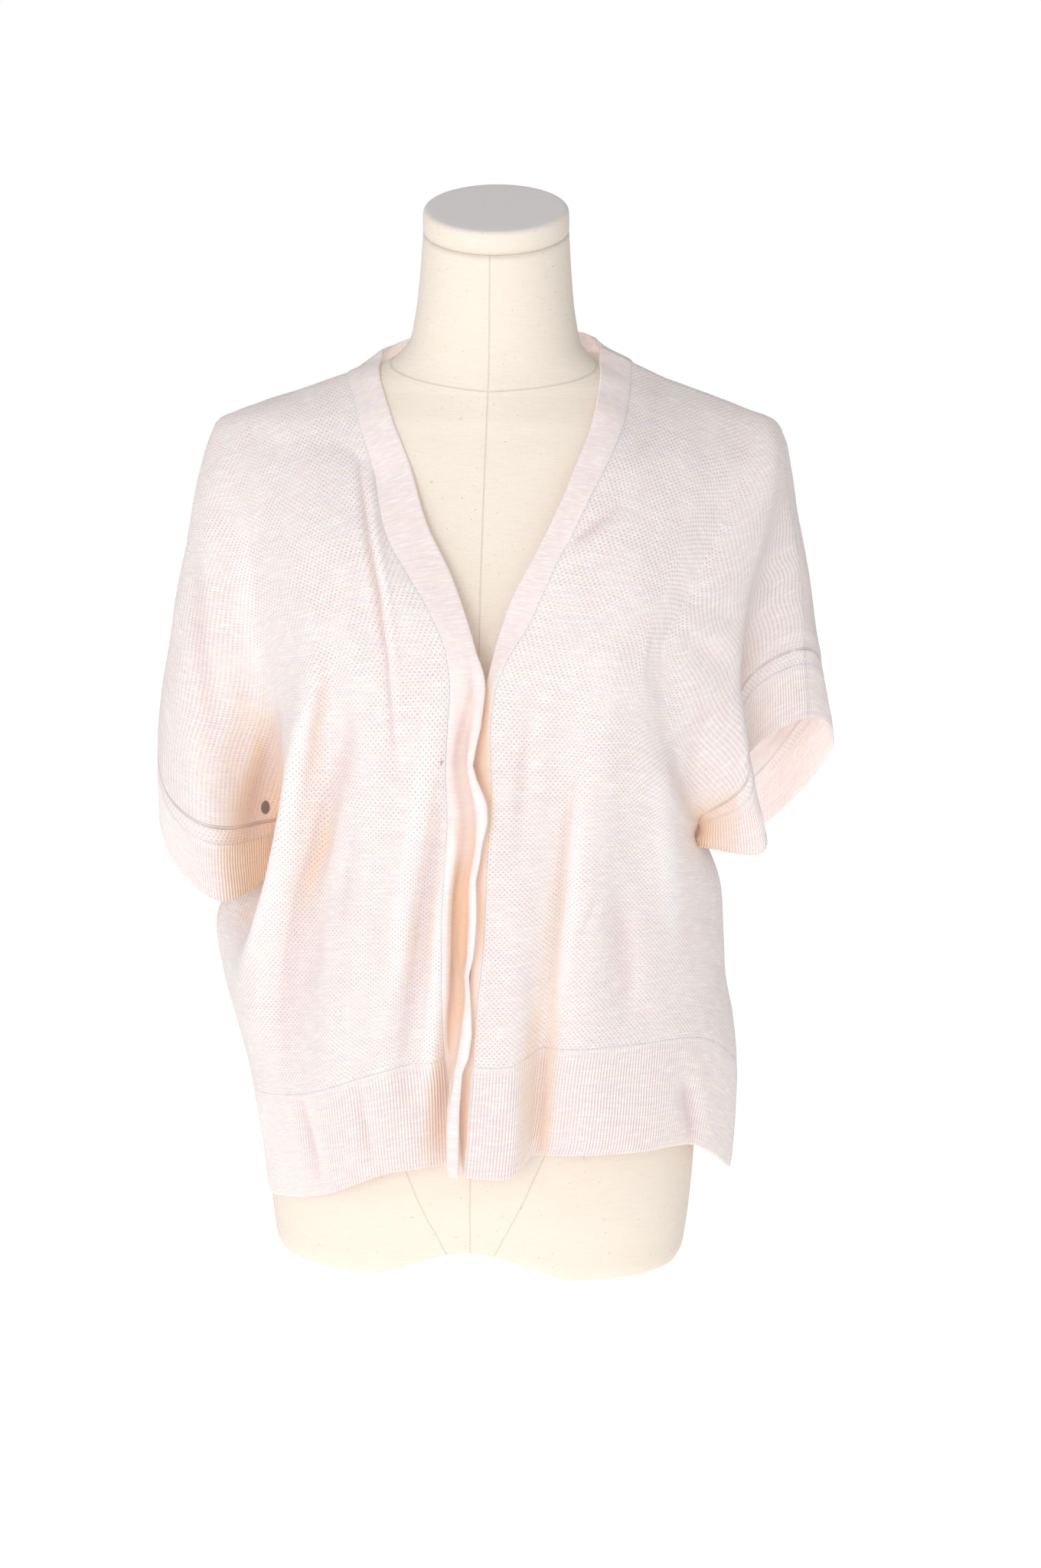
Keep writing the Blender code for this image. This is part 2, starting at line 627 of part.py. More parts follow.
def build_cloth():
    cloth = Cloth()
    sides = {}
    for side, lines, front in (("right", RIGHT_LINES, RIGHT_FRONT),
                               ("left", LEFT_LINES, LEFT_FRONT)):
        sides[side] = side_rows(lines, front) + (front,)
    centre = down_points({"centre": CENTRE_BACK}, "centre")
    rows_up = len(UPPER_STEPS)
    rows_low = len(LOWER_STEPS) + len(HEM_STEPS)
    body = sum(c for _, c in RIGHT_FRONT)
    sleeve = sum(c for _, c in SLEEVE_FRONT)

    # Upper rows go once round from the right front seam to the left one
    upper = []
    for r in range(rows_up):
        knots = []
        counts = []
        names, side_counts, downs, _ = sides["right"]
        knots += [downs[n][0][r] for n in names]
        counts += list(side_counts) + [NECK_COLUMNS]
        knots.append(centre[0][r])
        names, side_counts, downs, _ = sides["left"]
        knots += [downs[n][0][r] for n in reversed(names)]
        counts += [NECK_COLUMNS] + list(reversed(side_counts))
        upper.append(across(knots, counts))
    for row in upper:
        for c, p in enumerate(row):
            side = "right" if c <= body else "left"
            if c <= body or c >= len(row) - 1 - body:
                p.y += crease_shift(side, p)

    # Lower rows leave out the sleeves
    lower = []
    body_back = ["back arm", "blade", "back neck"]
    for r in range(rows_low):
        knots = []
        counts = []
        _, _, downs, front = sides["right"]
        knots += [downs[n][1][r] for n, _ in front]
        knots += [downs[n][1][r] for n in ["side"] + body_back]
        counts += [c for _, c in front] + [c for _, c in BODY_BACK] + [NECK_COLUMNS]
        knots.append(centre[1][r])
        _, _, downs, front = sides["left"]
        knots += [downs[n][1][r] for n in reversed(["side"] + body_back)]
        knots += [downs[n][1][r] for n, _ in reversed(front)]
        counts += [NECK_COLUMNS] + [c for _, c in reversed(BODY_BACK)]
        counts += [c for _, c in reversed(front)]
        lower.append(across(knots, counts))
    for row in lower:
        for c, p in enumerate(row):
            side = "right" if c <= body else "left"
            if c <= body or c >= len(row) - 1 - body:
                p.y += crease_shift(side, p)

    # Point numbers, with the seams shared
    width = len(upper[0])
    right_outer = body + sleeve
    right_back = body + 2 * sleeve
    neck_right = right_back + body
    neck_left = neck_right + 2 * NECK_COLUMNS
    left_back = neck_left + body
    left_outer = left_back + sleeve
    left_side = left_outer + sleeve
    upper_ids = [[cloth.add(p) for p in row] for row in upper]
    for k in range(1, body + sleeve + 1):
        upper_ids[0][right_outer + k] = upper_ids[0][right_outer - k]
        upper_ids[0][left_outer - k] = upper_ids[0][left_outer + k]
    last = upper_ids[-1]
    last[right_back] = last[body]
    last[left_back] = last[left_side]
    lower_ids = [[cloth.add(p) for p in row] for row in lower]
    under = (last[:body + 1] + last[right_back + 1:left_back]
             + last[left_side:])
    low = [under] + lower_ids
    low_right = body
    low_left = len(under) - 1 - body
    hem_from = len(LOWER_STEPS)

    # Panels
    cloth.strip("front_right", upper_ids, 0, right_outer)
    cloth.strip("front_right", low[:hem_from + 1], 0, low_right)
    cloth.strip("back", upper_ids, right_outer, left_outer)
    cloth.strip("back", low[:hem_from + 1], low_right, low_left)
    cloth.strip("front_left", upper_ids, left_outer, width - 1)
    cloth.strip("front_left", low[:hem_from + 1], low_left, len(under) - 1)
    cloth.strip("hem_front_right", low[hem_from:], 0, low_right)
    cloth.strip("hem_back", low[hem_from:], low_right, low_left)
    cloth.strip("hem_front_left", low[hem_from:], low_left, len(under) - 1)

    # Sleeve ends and cuffs
    for side, lines, start, stop in (("right", RIGHT_LINES, body, right_back),
                                     ("left", LEFT_LINES, left_back, left_side)):
        order = list(SLEEVE_LINES)
        counts = [c for _, c in SLEEVE_FRONT + SLEEVE_BACK]
        if side == "left":
            order.reverse()
            counts.reverse()
        under_seam, under_edge = CUFF_CORNERS[side]
        seam = across(vectors([under_seam] + [lines[n][0][-1] for n in order]
                              + [under_seam]), counts)
        edge = across(vectors([under_edge] + [lines[n][1][0] for n in order]
                              + [under_edge]), counts)
        top = upper_ids[-1][start:stop + 1]
        rows = [[cloth.add(p) for p in seam]]
        rows[0][-1] = rows[0][0]
        for s in CUFF_STEPS:
            ids = [cloth.add(t.lerp(e, s)) for t, e in zip(seam, edge)]
            ids[-1] = ids[0]
            rows.append(ids)
        first, second = "front_right", "back"
        if side == "left":
            first, second = "back", "front_left"
        cloth.strip(first, [top, rows[0]], 0, sleeve)
        cloth.strip(second, [top, rows[0]], sleeve, 2 * sleeve)
        first, second = "cuff_front_" + side, "cuff_back_" + side
        if side == "left":
            first, second = second, first
        cloth.strip(first, rows, 0, sleeve)
        cloth.strip(second, rows, sleeve, 2 * sleeve)

    # Bands up both fronts and round the neck
    right_rows = band_points(RIGHT_LINES, "right")
    left_rows = band_points(LEFT_LINES, "left")
    right_ids = []
    left_ids = []
    seam_right = [row[0] for row in upper_ids] + [row[0] for row in lower_ids]
    seam_left = [row[-1] for row in upper_ids] + [row[-1] for row in lower_ids]
    for points, seam in zip(right_rows, seam_right):
        right_ids.append([cloth.add(p) for p in points[:-1]] + [seam])
    for points, seam in zip(left_rows, seam_left):
        left_ids.append([seam] + [cloth.add(p) for p in reversed(points[:-1])])
    cloth.strip("band_right", right_ids, 0, BAND_COLUMNS)
    cloth.strip("band_left", left_ids, 0, BAND_COLUMNS)
    neck = upper_ids[0][neck_right:neck_left + 1]
    top = across(vectors(NECK_EDGE), [1] * (len(NECK_EDGE) - 1))
    rows = []
    for k in range(BAND_COLUMNS):
        ids = []
        for j, (t, n) in enumerate(zip(top, neck)):
            if j == 0:
                ids.append(right_ids[0][k])
            elif j == len(neck) - 1:
                ids.append(left_ids[0][BAND_COLUMNS - k])
            else:
                ids.append(cloth.add(t.lerp(cloth.points[n], k / BAND_COLUMNS)))
        rows.append(ids)
    rows.append(neck)
    cloth.strip("band_right", rows, 0, NECK_COLUMNS)
    cloth.strip("band_left", rows, NECK_COLUMNS, 2 * NECK_COLUMNS)
    return cloth


def cut_quads(cloth):
    """Choose the diagonal of each four-sided face: True joins corners 0 and 2."""
    cloth.falling = {}
    for quads in cloth.pieces.values():
        for quad in quads:
            p = [cloth.points[v] for v in quad]
            first = min((p[1] - p[0]).cross(p[2] - p[0]).length,
                        (p[2] - p[0]).cross(p[3] - p[0]).length)
            second = min((p[1] - p[0]).cross(p[3] - p[0]).length,
                         (p[2] - p[1]).cross(p[3] - p[1]).length)
            if first > 1.3 * second:
                cloth.falling[quad] = True
            elif second > 1.3 * first:
                cloth.falling[quad] = False
            else:
                cloth.falling[quad] = (p[0] - p[2]).length <= (p[1] - p[3]).length


def triangles(corners, falling):
    """Two triangles of a four-sided face."""
    a, b, c, d = corners
    return ((a, b, c), (a, c, d)) if falling else ((a, b, d), (b, c, d))


def point_normals(cloth):
    """One normal for each point of the whole sheet, with its own scale."""
    fans = {}
    for quads in cloth.pieces.values():
        for quad in quads:
            for corners in triangles(quad, cloth.falling[quad]):
                p = [cloth.points[v] for v in corners]
                n = (p[1] - p[0]).cross(p[2] - p[0])
                if n.length < 1e-12:
                    continue
                n.normalize()
                for k in range(3):
                    angle = (p[k - 1] - p[k]).angle(p[(k + 1) % 3] - p[k], 0.0)
                    fans.setdefault(corners[k], []).append((n, angle))
    normals = {}
    for v, fan in fans.items():
        normal = sum((n * w for n, w in fan), Vector()).normalized()
        for _ in range(40):
            worst = min(fan, key=lambda item: item[0].dot(normal))[0]
            if worst.dot(normal) > 0.5:
                break
            normal = (normal + worst * 0.1).normalized()
        mean = sum(n.dot(normal) * w for n, w in fan) / sum(w for _, w in fan)
        normals[v] = normal / min(1.0, max(mean, 0.6))
    return normals


def clear_of_form(cloth, form, halves):
    """Move points out until each face is just clear of the form."""
    mesh = form.data
    tree = BVHTree.FromPolygons([v.co for v in mesh.vertices],
                                [p.vertices[:] for p in mesh.polygons])
    shares = [(i / 4, j / 4, 1 - i / 4 - j / 4)
              for i in range(5) for j in range(5 - i)]
    for _ in range(10):
        moves = {}
        cut_quads(cloth)
        for quads in cloth.pieces.values():
            for quad in quads:
                for corners in triangles(quad, cloth.falling[quad]):
                    need = max(halves[v] for v in corners) + FORM_CLEARANCE
                    p = [cloth.points[v] for v in corners]
                    for share in shares:
                        point = p[0] * share[0] + p[1] * share[1] + p[2] * share[2]
                        shift = form_shift(tree, point, need)
                        if shift is None:
                            continue
                        total = sum(k * k for k in share)
                        for v, k in zip(corners, share):
                            step = shift * (k / total)
                            if k > 0.1 and step.length > moves.get(v, Vector()).length:
                                moves[v] = step
        for v, step in moves.items():
            cloth.points[v] = cloth.points[v] + step
        if not moves:
            break


def form_shift(tree, point, need):
    """Shift that takes a point to the needed distance off the form."""
    near, normal, _, gap = tree.find_nearest(point)
    away = point - near
    if away.dot(normal) < 0.0:
        return near + normal * need - point
    if gap < need - 1e-6:
        direction = away.normalized() if gap > 1e-5 else normal
        return near + direction * need - point
    return None


def boundary_pull(cloth, quads, normals):
    """Short shift of each border point into its own piece."""
    count = {}
    for quad in quads:
        for k in range(4):
            a, b = quad[k], quad[(k + 1) % 4]
            count[(a, b)] = count.get((a, b), 0) + 1
    pulls = {}
    for (a, b) in count:
        if (b, a) in count:
            continue
        along = (cloth.points[b] - cloth.points[a]).normalized()
        for v in (a, b):
            inward = normals[v].normalized().cross(along).normalized()
            pulls.setdefault(v, []).append(inward)
    shifts = {}
    for v, inwards in pulls.items():
        if len(inwards) == 1:
            shifts[v] = inwards[0] * SEAM_HALF
        else:
            a, b = inwards[0], inwards[1]
            shifts[v] = (a + b) * (SEAM_HALF / max(1.0 + a.dot(b), 0.4))
    return shifts


def wall(cloth, name, halves, normals, ribs=0):
    """Closed wall of one piece.  Ribs stand on its outer side only."""
    quads = cloth.pieces[name]
    shifts = boundary_pull(cloth, quads, normals)
    used = sorted({v for quad in quads for v in quad})
    vertices = []
    outer = {}
    inner = {}
    for v in used:
        base = cloth.points[v] + shifts.get(v, Vector())
        outer[v] = len(vertices)
        vertices.append(base + normals[v] * halves[v])
        inner[v] = len(vertices)
        vertices.append(base - normals[v] * halves[v])
    edges = {}
    for quad in quads:
        for k in range(4):
            edges[(quad[k], quad[(k + 1) % 4])] = k
    split = max(2 * ribs, 1)
    cuts = {}

    def between(a, b, raised):
        """Points that ribs add along an edge that runs across."""
        if (b, a, raised) in cuts:
            return list(reversed(cuts[(b, a, raised)]))
        if (a, b, raised) not in cuts:
            level = outer if raised else inner
            ids = []
            for k in range(1, split):
                u = k / split
                point = vertices[level[a]].lerp(vertices[level[b]], u)
                if raised and k % 2:
                    out = normals[a].lerp(normals[b], u).normalized()
                    point = point + out * rib_height(a, b)
                ids.append(len(vertices))
                vertices.append(point)
            cuts[(a, b, raised)] = ids
        return cuts[(a, b, raised)]

    seam_points = set()
    for other, others in cloth.pieces.items():
        if other in ("front_right", "front_left", "back"):
            seam_points.update(v for quad in others for v in quad)

    def rib_height(a, b):
        if a in seam_points and b in seam_points:
            return 0.0
        return RIB_RAISE

    faces = []
    for quad in quads:
        a, b, c, d = quad
        plain_top = ribs and rib_height(a, b) == 0.0
        for side in (outer, inner):
            raised = side is outer
            bottom = [side[d]] + list(reversed(between(c, d, raised))) + [side[c]]
            if plain_top:
                cut = fan_triangles(side[a], side[b], bottom)
            else:
                top = [side[a]] + between(a, b, raised) + [side[b]]
                cut = []
                for k in range(len(top) - 1):
                    corners = (top[k], top[k + 1], bottom[k + 1], bottom[k])
                    cut.extend(triangles(corners, cloth.falling[quad]))
            faces.extend(cut if raised else [tuple(reversed(t)) for t in cut])
    for (a, b), k in edges.items():
        if (b, a) in edges:
            continue
        out, into = [outer[a], outer[b]], [inner[a], inner[b]]
        if ribs and k in (0, 2) and rib_height(a, b) > 0.0:
            out = [outer[a]] + between(a, b, True) + [outer[b]]
            into = [inner[a]] + between(a, b, False) + [inner[b]]
        for k in range(len(out) - 1):
            corners = (out[k + 1], out[k], into[k], into[k + 1])
            faces.extend(triangles(corners, a < b))
    return make_object(name, vertices, faces)


def fan_triangles(a, b, bottom):
    """Triangles between one upper edge and several lower points."""
    half = (len(bottom) - 1) // 2
    cut = [(a, bottom[k + 1], bottom[k]) for k in range(half)]
    cut.append((a, b, bottom[half]))
    cut += [(b, bottom[k + 1], bottom[k]) for k in range(half, len(bottom) - 1)]
    return cut


def make_object(name, vertices, faces):
    mesh = bpy.data.meshes.new(name)
    mesh.from_pydata([tuple(v) for v in vertices], [], faces)
    mesh.validate()
    for polygon in mesh.polygons:
        polygon.use_smooth = True
    mesh.set_sharp_from_angle(angle=math.radians(50))
    thing = bpy.data.objects.new(name, mesh)
    thing.location = FRAME_SHIFT
    bpy.context.scene.collection.objects.link(thing)
    return thing


# Materials: name, colour, roughness
MATERIALS = {
    "form": ((0.83, 0.78, 0.66), 0.75),
    "cap": ((0.70, 0.68, 0.65), 0.75),
    "knit": ((0.80, 0.70, 0.66), 0.90),
    "rib": ((0.80, 0.70, 0.65), 0.90),
    "band": ((0.81, 0.71, 0.67), 0.88),
}

# Pieces of cloth: name, half thickness, ribs in a column, material
PIECES = (
    ("front_right", BODY_HALF, 0, "knit"),
    ("front_left", BODY_HALF, 0, "knit"),
    ("back", BODY_HALF, 0, "knit"),
    ("hem_front_right", RIB_HALF, RIBS_PER_COLUMN, "rib"),
    ("hem_front_left", RIB_HALF, RIBS_PER_COLUMN, "rib"),
    ("hem_back", RIB_HALF, RIBS_PER_COLUMN, "rib"),
    ("cuff_front_right", RIB_HALF, RIBS_PER_COLUMN, "rib"),
    ("cuff_back_right", RIB_HALF, RIBS_PER_COLUMN, "rib"),
    ("cuff_front_left", RIB_HALF, RIBS_PER_COLUMN, "rib"),
    ("cuff_back_left", RIB_HALF, RIBS_PER_COLUMN, "rib"),
    ("band_right", BAND_HALF, 0, "band"),
    ("band_left", BAND_HALF, 0, "band"),
)


def set_material(thing, name):
    material = bpy.data.materials.get(name)
    if material is None:
        colour, roughness = MATERIALS[name]
        material = bpy.data.materials.new(name)
        material.use_nodes = True
        shader = material.node_tree.nodes["Principled BSDF"]
        shader.inputs["Base Color"].default_value = colour + (1.0,)
        shader.inputs["Roughness"].default_value = roughness
        shader.inputs["Metallic"].default_value = 0.0
    thing.data.materials.append(material)


def main():
    for thing in list(bpy.data.objects):
        bpy.data.objects.remove(thing, do_unlink=True)
    form = make_form()
    set_material(form, "form")
    set_material(make_cap(), "cap")
    cloth = build_cloth()
    halves = {}
    for name, half, _, _ in PIECES:
        for quad in cloth.pieces[name]:
            for v in quad:
                halves[v] = min(halves.get(v, 1.0), half)
    clear_of_form(cloth, form, halves)
    cut_quads(cloth)
    normals = point_normals(cloth)
    for name, _, ribs, material in PIECES:
        set_material(wall(cloth, name, halves, normals, ribs), material)


main()
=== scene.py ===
import math

import bpy
import numpy as np
from mathutils import Matrix, Vector, noise
from mathutils.bvhtree import BVHTree


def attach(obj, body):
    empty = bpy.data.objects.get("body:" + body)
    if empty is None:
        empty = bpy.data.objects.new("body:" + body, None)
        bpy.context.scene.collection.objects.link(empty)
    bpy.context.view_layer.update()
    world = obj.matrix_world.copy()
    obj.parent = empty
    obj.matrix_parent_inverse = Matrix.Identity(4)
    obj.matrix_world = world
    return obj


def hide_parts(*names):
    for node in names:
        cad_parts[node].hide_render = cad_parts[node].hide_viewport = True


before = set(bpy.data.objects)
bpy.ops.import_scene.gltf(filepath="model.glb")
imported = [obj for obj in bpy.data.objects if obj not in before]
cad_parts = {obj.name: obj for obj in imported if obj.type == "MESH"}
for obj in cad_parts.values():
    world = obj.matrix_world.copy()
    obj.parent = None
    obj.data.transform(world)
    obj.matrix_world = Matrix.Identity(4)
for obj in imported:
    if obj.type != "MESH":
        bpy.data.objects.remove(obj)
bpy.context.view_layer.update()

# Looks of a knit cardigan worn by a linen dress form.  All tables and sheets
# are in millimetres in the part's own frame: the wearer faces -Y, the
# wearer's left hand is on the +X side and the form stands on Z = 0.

MM = 0.001

# Shift that brings the middle of the whole object over the origin
FRAME_SHIFT = np.array((-3.2, 5.3, 0.0))


def world_point(x, y, z):
    return tuple(float(v) for v in (np.array((x, y, z)) + FRAME_SHIFT) * MM)


def listed(text):
    """Points from text: commas between the points, spaces between the numbers."""
    return tuple(tuple(float(v) for v in p.split()) for p in text.split(",") if p.strip())


def line_table(text):
    """Lines by name, each as its points above the underarm and those below."""
    rows = (row.split(":") for row in text.split(";") if row.strip())
    return {name.strip(): tuple(listed(part) for part in points.split("|"))
            for name, points in rows}


# Fineness of the cloth: width of a column, rows down each stretch, columns
# across a band and along each half of the neck
COLUMN = 3.0
UPPER_ROWS = 104
LOWER_ROWS = 64
HEM_ROWS = 14
SLEEVE_END_ROWS = 3
CUFF_ROWS = 9
BAND_ACROSS = 14
NECK_HALF = 36

# Half thickness of the walls, hidden seam gap on each side, gap to the form,
# how far free edges round in, share of the faces beside them that this may take
BODY_HALF = 0.65
RIB_HALF = 0.65
BAND_HALF = 1.25
SEAM = 0.005
CLEARANCE = 0.5
RIM_SHARE = 0.8
RIM_ROOM = 0.45

# Ribs of hem and cuffs, rows in which they rise, depths of the trims
RIB_PITCH = 2.3
RIB_SAMPLES = 6
RIB_HEIGHT = 0.45
RIB_RISE = 1.5
HEM_DEPTH = 82.0
SLEEVE_END = 9.0
CUFF_DEPTH = 40.0
BAND_WIDTH = 30.0

# Knit gauge: stitch and course of the eyelets, courses of the ribs, wales and
# courses of the bands; lengths down the panels for the looks
STITCH = 3.6
COURSE = 2.0
RIB_COURSE = 1.5
BAND_WALE = 1.7
BAND_COURSE = 1.3
UPPER_LENGTH = 330.0
LOWER_LENGTH = 215.0

# Dress form
FORM_SIDES = 192
FORM_STEP = 5.0
CROTCH_RISE = 20.0
CROTCH_HALF_WIDTH = 75.0
CROTCH_FADE = 50.0
BUST_HALF_SPACING = 84.0
BUST_HEIGHT = 452.0
BUST_DEPTH = 37.0
BUST_RADIUS = 37.0
BUST_OUTWARD = 1.25
BUST_BELOW = 50.0
BUST_ABOVE = 78.0
NECK_TILT = math.radians(17.0)
NECK_LEAN = 12.0
NECK_FOOT = 660.0
NECK_TOP = 754.4
CAP_THICKNESS = 17.0
CAP_HALF_WIDTH = 51.7
CAP_HALF_DEPTH = 52.5
CAP_ROUNDING = 4.0
CAP_GAP = 0.05

# Side of the cap below its rounded rim: share of the full section, height; then
# the parts of the rounding, the shares of the rings on the top and the first
# ring that is grey
CAP_SIDE = ((0.985, 0.0), (1.0, 0.8), (1.003, 5.0), (1.003, 9.0),
            (1.0, CAP_THICKNESS - CAP_ROUNDING))
CAP_ARC = 6
CAP_TOP = (0.80, 0.55, 0.28)
CAP_GREY_RING = 8

# Sections of the dress form, a row for each height, in millimetres:
# height, half width, depth in front, depth behind, squareness
FORM_SECTIONS = (
    (20, 153, 88, 106, 2.5),
    (48, 156, 94, 113, 2.5),
    (90, 158, 97, 116, 2.5),
    (140, 154, 95, 113, 2.5),
    (190, 142, 88, 101, 2.4),
    (240, 124, 81, 85, 2.3),
    (285, 115, 79, 75, 2.2),
    (330, 120, 83, 75, 2.2),
    (375, 131, 92, 81, 2.3),
    (415, 141, 98, 87, 2.4),
    (450, 147, 100, 91, 2.4),
    (485, 150, 98, 94, 2.4),
    (520, 155, 93, 96, 2.3),
    (555, 164, 85, 94, 2.2),
    (583, 175, 78, 88, 2.05),
    (603, 183, 72, 80, 1.9),
    (615, 180, 68, 74, 1.7),
    (624, 167, 66, 70, 1.55),
    (632, 149, 63, 67, 1.45),
    (641, 126, 60, 64, 1.4),
    (649, 105, 58, 61, 1.45),
    (656, 86, 56.5, 59, 1.55),
    (663, 72, 55, 57.5, 1.75),
    (673, 62.5, 53.5, 56, 1.9),
    (692, 57.5, 52.5, 54, 2.0),
    (722, 54, 52.5, 53, 2.0),
    (754.4, 51.7, 52.5, 52.5, 2.0),
)

# Rounded foot of the form: share of the full section, height in millimetres
FOOT_RINGS = ((0.988, 9.0), (0.965, 2.5), (0.935, 0.0), (0.80, 0.0), (0.62, 0.0),
              (0.42, 0.0), (0.20, 0.0))

# Lines of the wearer's right side by name, x y z of each point: from the
# shoulder to the underarm level, and after the bar from there to the hem's edge
RIGHT_LINES = line_table("""
edge: -81 8 666, -80 -12 654, -75 -34 640, -67 -52 622, -53 -75 594, -37 -95 552, -20 -105 521,
  -11 -112 500, -2 -119 475, 5 -126 448, 3 -131 418, 0 -134 391, 7 -135 372, 11 -135 340 |
  5 -134 318, 1 -133 290, 0 -133 250, -1 -133 205, -6 -133 170, -10 -133 142, -11 -135 93;
seam: -104 6 649, -102 -14 643, -96 -32 631, -90 -46 616, -80 -68 592, -73 -90 566,
  -66 -103 546, -50 -114 521, -36 -121 500, -22 -126 471, -18 -127 448, -19 -126 416,
  -20 -125 388, -18 -124 340 | -19 -125 305, -20 -126 276, -20 -125 240, -20 -123 210,
  -19 -119 180, -16 -113 150, -13 -110 95;
inner: -118 7 644, -114 -14 638, -107 -34 626, -99 -53 610, -90 -75 591, -81 -98 560,
  -72 -111 537, -59 -121 509, -52 -127 470, -47 -130 430, -46 -130 388, -46 -129 340 |
  -46 -129 300, -47 -129 250, -52 -128 205, -56 -126 166, -58 -123 130, -60 -119 88;
apex: -136 7 638, -132 -14 632, -126 -36 619, -120 -57 601, -114 -78 579, -107 -97 552,
  -100 -111 525, -94 -120 497, -90 -125 466, -84 -125 430, -80 -123 388, -85 -120 340 |
  -91 -119 300, -97 -119 270, -100 -119 230, -101 -118 190, -101 -117 160, -100 -114 120,
  -98 -108 70;
furrow: -152 7 633, -149 -13 626, -144 -34 613, -138 -54 594, -131 -73 572, -123 -90 546,
  -114 -104 519, -105 -115 490, -100 -119 460, -102 -112 425, -104 -107 388, -106 -105 340 |
  -108 -104 300, -112 -103 260, -115 -102 220, -118 -101 186, -119 -100 158, -118 -98 110,
  -116 -90 61;
swag: -167 7 629, -165 -12 621, -161 -31 606, -155 -49 588, -148 -65 566, -139 -81 542,
  -129 -96 516, -118 -110 490, -112 -119 460, -120 -120 422, -130 -116 383, -138 -108 340 |
  -148 -100 297, -158 -90 262, -167 -78 235, -170 -68 205, -163 -66 170, -154 -65 140,
  -147 -60 100, -140 -55 50;
hollow: -174 7 626, -173 -11 618, -170 -28 602, -166 -45 583, -161 -59 560, -154 -72 534,
  -148 -82 507, -143 -88 478, -141 -90 450, -140 -88 420, -138 -78 385, -134 -60 338 |
  -130 -50 305, -134 -44 278, -154 -41 256, -178 -36 236, -184 -32 205, -176 -34 170,
  -168 -34 140, -160 -33 98, -150 -32 45;
side: -180 7 624, -180 -10 616, -178 -26 599, -175 -41 578, -172 -53 553, -169 -61 525,
  -167 -66 497, -165 -66 468, -162 -62 440, -159 -54 410, -155 -42 378, -149 -27 348,
  -146 -15 325 | -138 -3 303, -141 7 286, -166 13 274, -188 13 265, -198 13 255, -201 11 243,
  -200 8 228, -195 3 207, -188 0 185, -179 -3 156, -172 -5 133, -166 -8 99, -160 -10 64,
  -156 -12 40;
fold: -190 7 619, -191 -7 612, -193 -21 596, -196 -34 575, -199 -43 550, -202 -50 520,
  -204 -56 490, -205 -60 455, -205 -62 420, -204 -63 385, -201 -63 350, -196 -62 316 |
  -188 -60 271;
tuck: -197 6 616, -201 -3 606, -206 -12 589, -211 -20 567, -215 -26 540, -220 -31 505,
  -225 -34 465, -230 -36 425, -232 -38 385, -229 -38 333 | -222 -36 289;
outer: -201 5 612, -207 3 597, -213 2 574, -218 1 540, -225 0 506, -232 0 461, -239 0 427,
  -243 0 381, -244 0 365 | -242 0 320;
back tuck: -197 6 616, -206 14 599, -213 20 574, -218 25 540, -225 30 505, -231 34 461,
  -237 37 420, -240 40 358 | -236 40 314;
back fold: -190 7 619, -199 24 605, -204 38 582, -208 50 552, -212 58 515, -214 64 475,
  -215 67 430, -214 68 385, -211 66 338 | -205 60 294;
back side: -180 7 624, -184 28 611, -185 46 589, -183 60 562, -180 70 530, -177 75 495,
  -174 74 460, -168 66 425, -161 50 395, -154 28 365, -148 4 343, -146 -15 325 |;
back arm: -167 8 629, -168 30 618, -166 50 597, -162 66 568, -157 77 533, -152 84 495,
  -148 87 455, -146 87 415, -144 84 375, -140 80 333 | -140 76 300, -149 74 267, -163 76 235,
  -162 80 200, -157 84 165, -153 86 130, -149 86 90, -146 84 48;
blade: -130 8 641, -130 30 632, -126 52 611, -119 72 580, -111 86 545, -103 94 508, -97 98 470,
  -93 99 430, -91 98 390, -90 97 338 | -91 97 300, -94 99 260, -97 104 220, -99 110 185,
  -101 115 150, -101 119 110, -100 118 54;
back neck: -104 6 649, -101 28 643, -93 48 629, -81 66 607, -68 80 578, -58 91 543, -52 98 506,
  -49 102 468, -47 104 430, -46 104 390, -45 103 344 | -45 103 300, -45 105 260, -47 110 220,
  -49 116 185, -50 121 150, -50 125 110, -50 124 57;
""")

